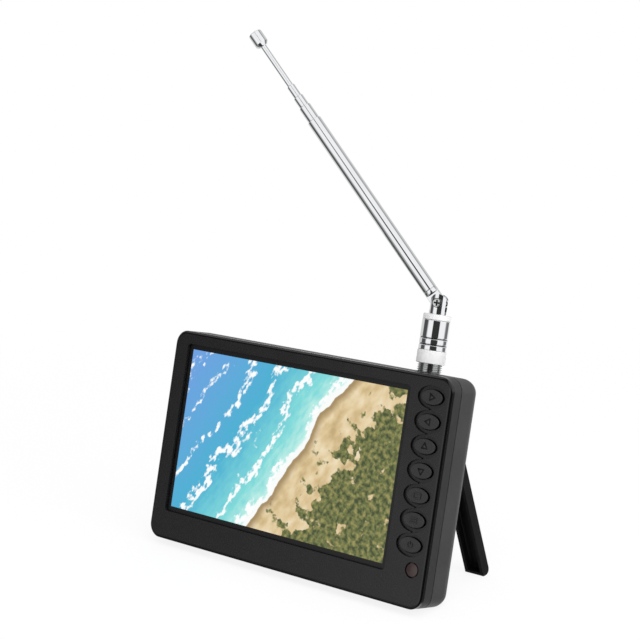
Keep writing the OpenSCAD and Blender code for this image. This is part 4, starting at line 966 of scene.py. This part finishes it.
def studio_world():
    """White for the camera, even grey as fill light, and the cards and the dark room for gloss."""
    bpy.context.scene.world = bpy.data.worlds.new("studio")
    tree = cleared(bpy.context.scene.world)

    def grey(level):
        return [level] * 3 + [1]

    x, y, z = add(tree, "SeparateXYZ", {0: add(tree, "TexCoord").outputs["Generated"]}).outputs
    angle = work(tree, "SUBTRACT", work(tree, "ARCTAN2", y, x), radians(CAMERA_AZIMUTH))
    right = work(tree, "DEGREES", work(tree, "WRAP", angle, pi, -pi))
    up = work(tree, "DEGREES", work(tree, "ARCSINE", z))
    level = grey(1.0)
    for left, far, low, high, soft, card in CARDS:
        inside = 1.0
        for value, start, end in ((right, left, far), (up, low, high)):
            middle, half = (start + end) / 2, (end - start) / 2
            away = work(tree, "ABSOLUTE", work(tree, "SUBTRACT", value, middle))
            near = past(tree, away, half + soft, half - soft, interpolation_type="SMOOTHSTEP")
            inside = work(tree, "MULTIPLY", near, inside)
        level = blend(tree, inside, level, grey(card))
    climb = work(tree, "MAXIMUM", work(tree, "SUBTRACT", up, ROOM_LOW), 0.0)
    middle = work(tree, "MULTIPLY_ADD", climb, ROOM_DRIFT, ROOM_MIDDLE)
    half = work(tree, "MULTIPLY_ADD", climb, ROOM_TAPER, ROOM_HALF)
    away = work(tree, "SUBTRACT", work(tree, "ABSOLUTE", work(tree, "SUBTRACT", right, middle)), half)
    outside = past(tree, away, -ROOM_SOFT, ROOM_SOFT, interpolation_type="SMOOTHSTEP")
    level = blend(tree, outside, grey(ROOM_LEVEL), level)
    path = add(tree, "LightPath").outputs
    level = blend(tree, path["Is Glossy Ray"], grey(AMBIENT), level)
    seen = work(tree, "MAXIMUM", path["Is Camera Ray"], path["Is Transmission Ray"])
    level = blend(tree, seen, level, "#ffffff")
    add(tree, "OutputWorld", {"Surface": add(tree, "Background", {"Color": level}).outputs[0]})


def floor():
    """A white table that keeps a soft shadow under the set."""
    bm = bmesh.new()
    bmesh.ops.create_grid(bm, x_segments=1, y_segments=1, size=3.0)
    table = placed("table", as_mesh(bm, "table"))
    material = bpy.data.materials.new("white_table")
    tree = cleared(material)
    white = add(tree, "BsdfDiffuse", {"Color": paint("#f4f4f4")}).outputs[0]
    glow = add(tree, "Emission", {"Color": paint("#ffffff"), "Strength": 1.0}).outputs[0]
    place = add(tree, "TexCoord").outputs["Object"]
    away = add(tree, "VectorMath", {0: place}, operation="LENGTH").outputs["Value"]
    share = add(tree, "MapRange", {"Value": away, "From Min": GLOW_NEAR, "From Max": GLOW_FAR,
                                   "To Min": GLOW_LEAST, "To Max": 1.0}).outputs[0]
    seen = work(tree, "MULTIPLY", add(tree, "LightPath").outputs["Is Camera Ray"], share)
    add(tree, "OutputMaterial", {"Surface": add(tree, "MixShader", {0: seen, 1: white, 2: glow}).outputs[0]})
    table.visible_glossy = False
    table.data.materials.append(material)


def lamp(name, place, aim, size, power):
    light = bpy.data.lights.new(name, "AREA")
    light.shape, light.size, light.energy = "DISK", size, power
    thing = placed(name, light)
    thing.location = place
    thing.rotation_euler = (Vector(aim) - Vector(place)).to_track_quat("-Z", "Y").to_euler()
    thing.visible_glossy = False


studio_world()
floor()
lamp("high_softbox", (0.5, -0.5, 1.0), (0, 0, 0.06), 0.8, 6.0)
lamp("right_softbox", (1.0, -0.1, 0.5), (0, 0, 0.06), 0.8, 5.0)

camera = placed("camera", bpy.data.cameras.new("camera"))
camera.data.lens = CAMERA_LENS
camera.data.clip_start = 0.01
camera.location = CAMERA_PLACE
camera.rotation_euler = [radians(a) for a in CAMERA_TURN]
bpy.context.scene.camera = camera
bpy.context.scene.view_settings.view_transform = "Standard"
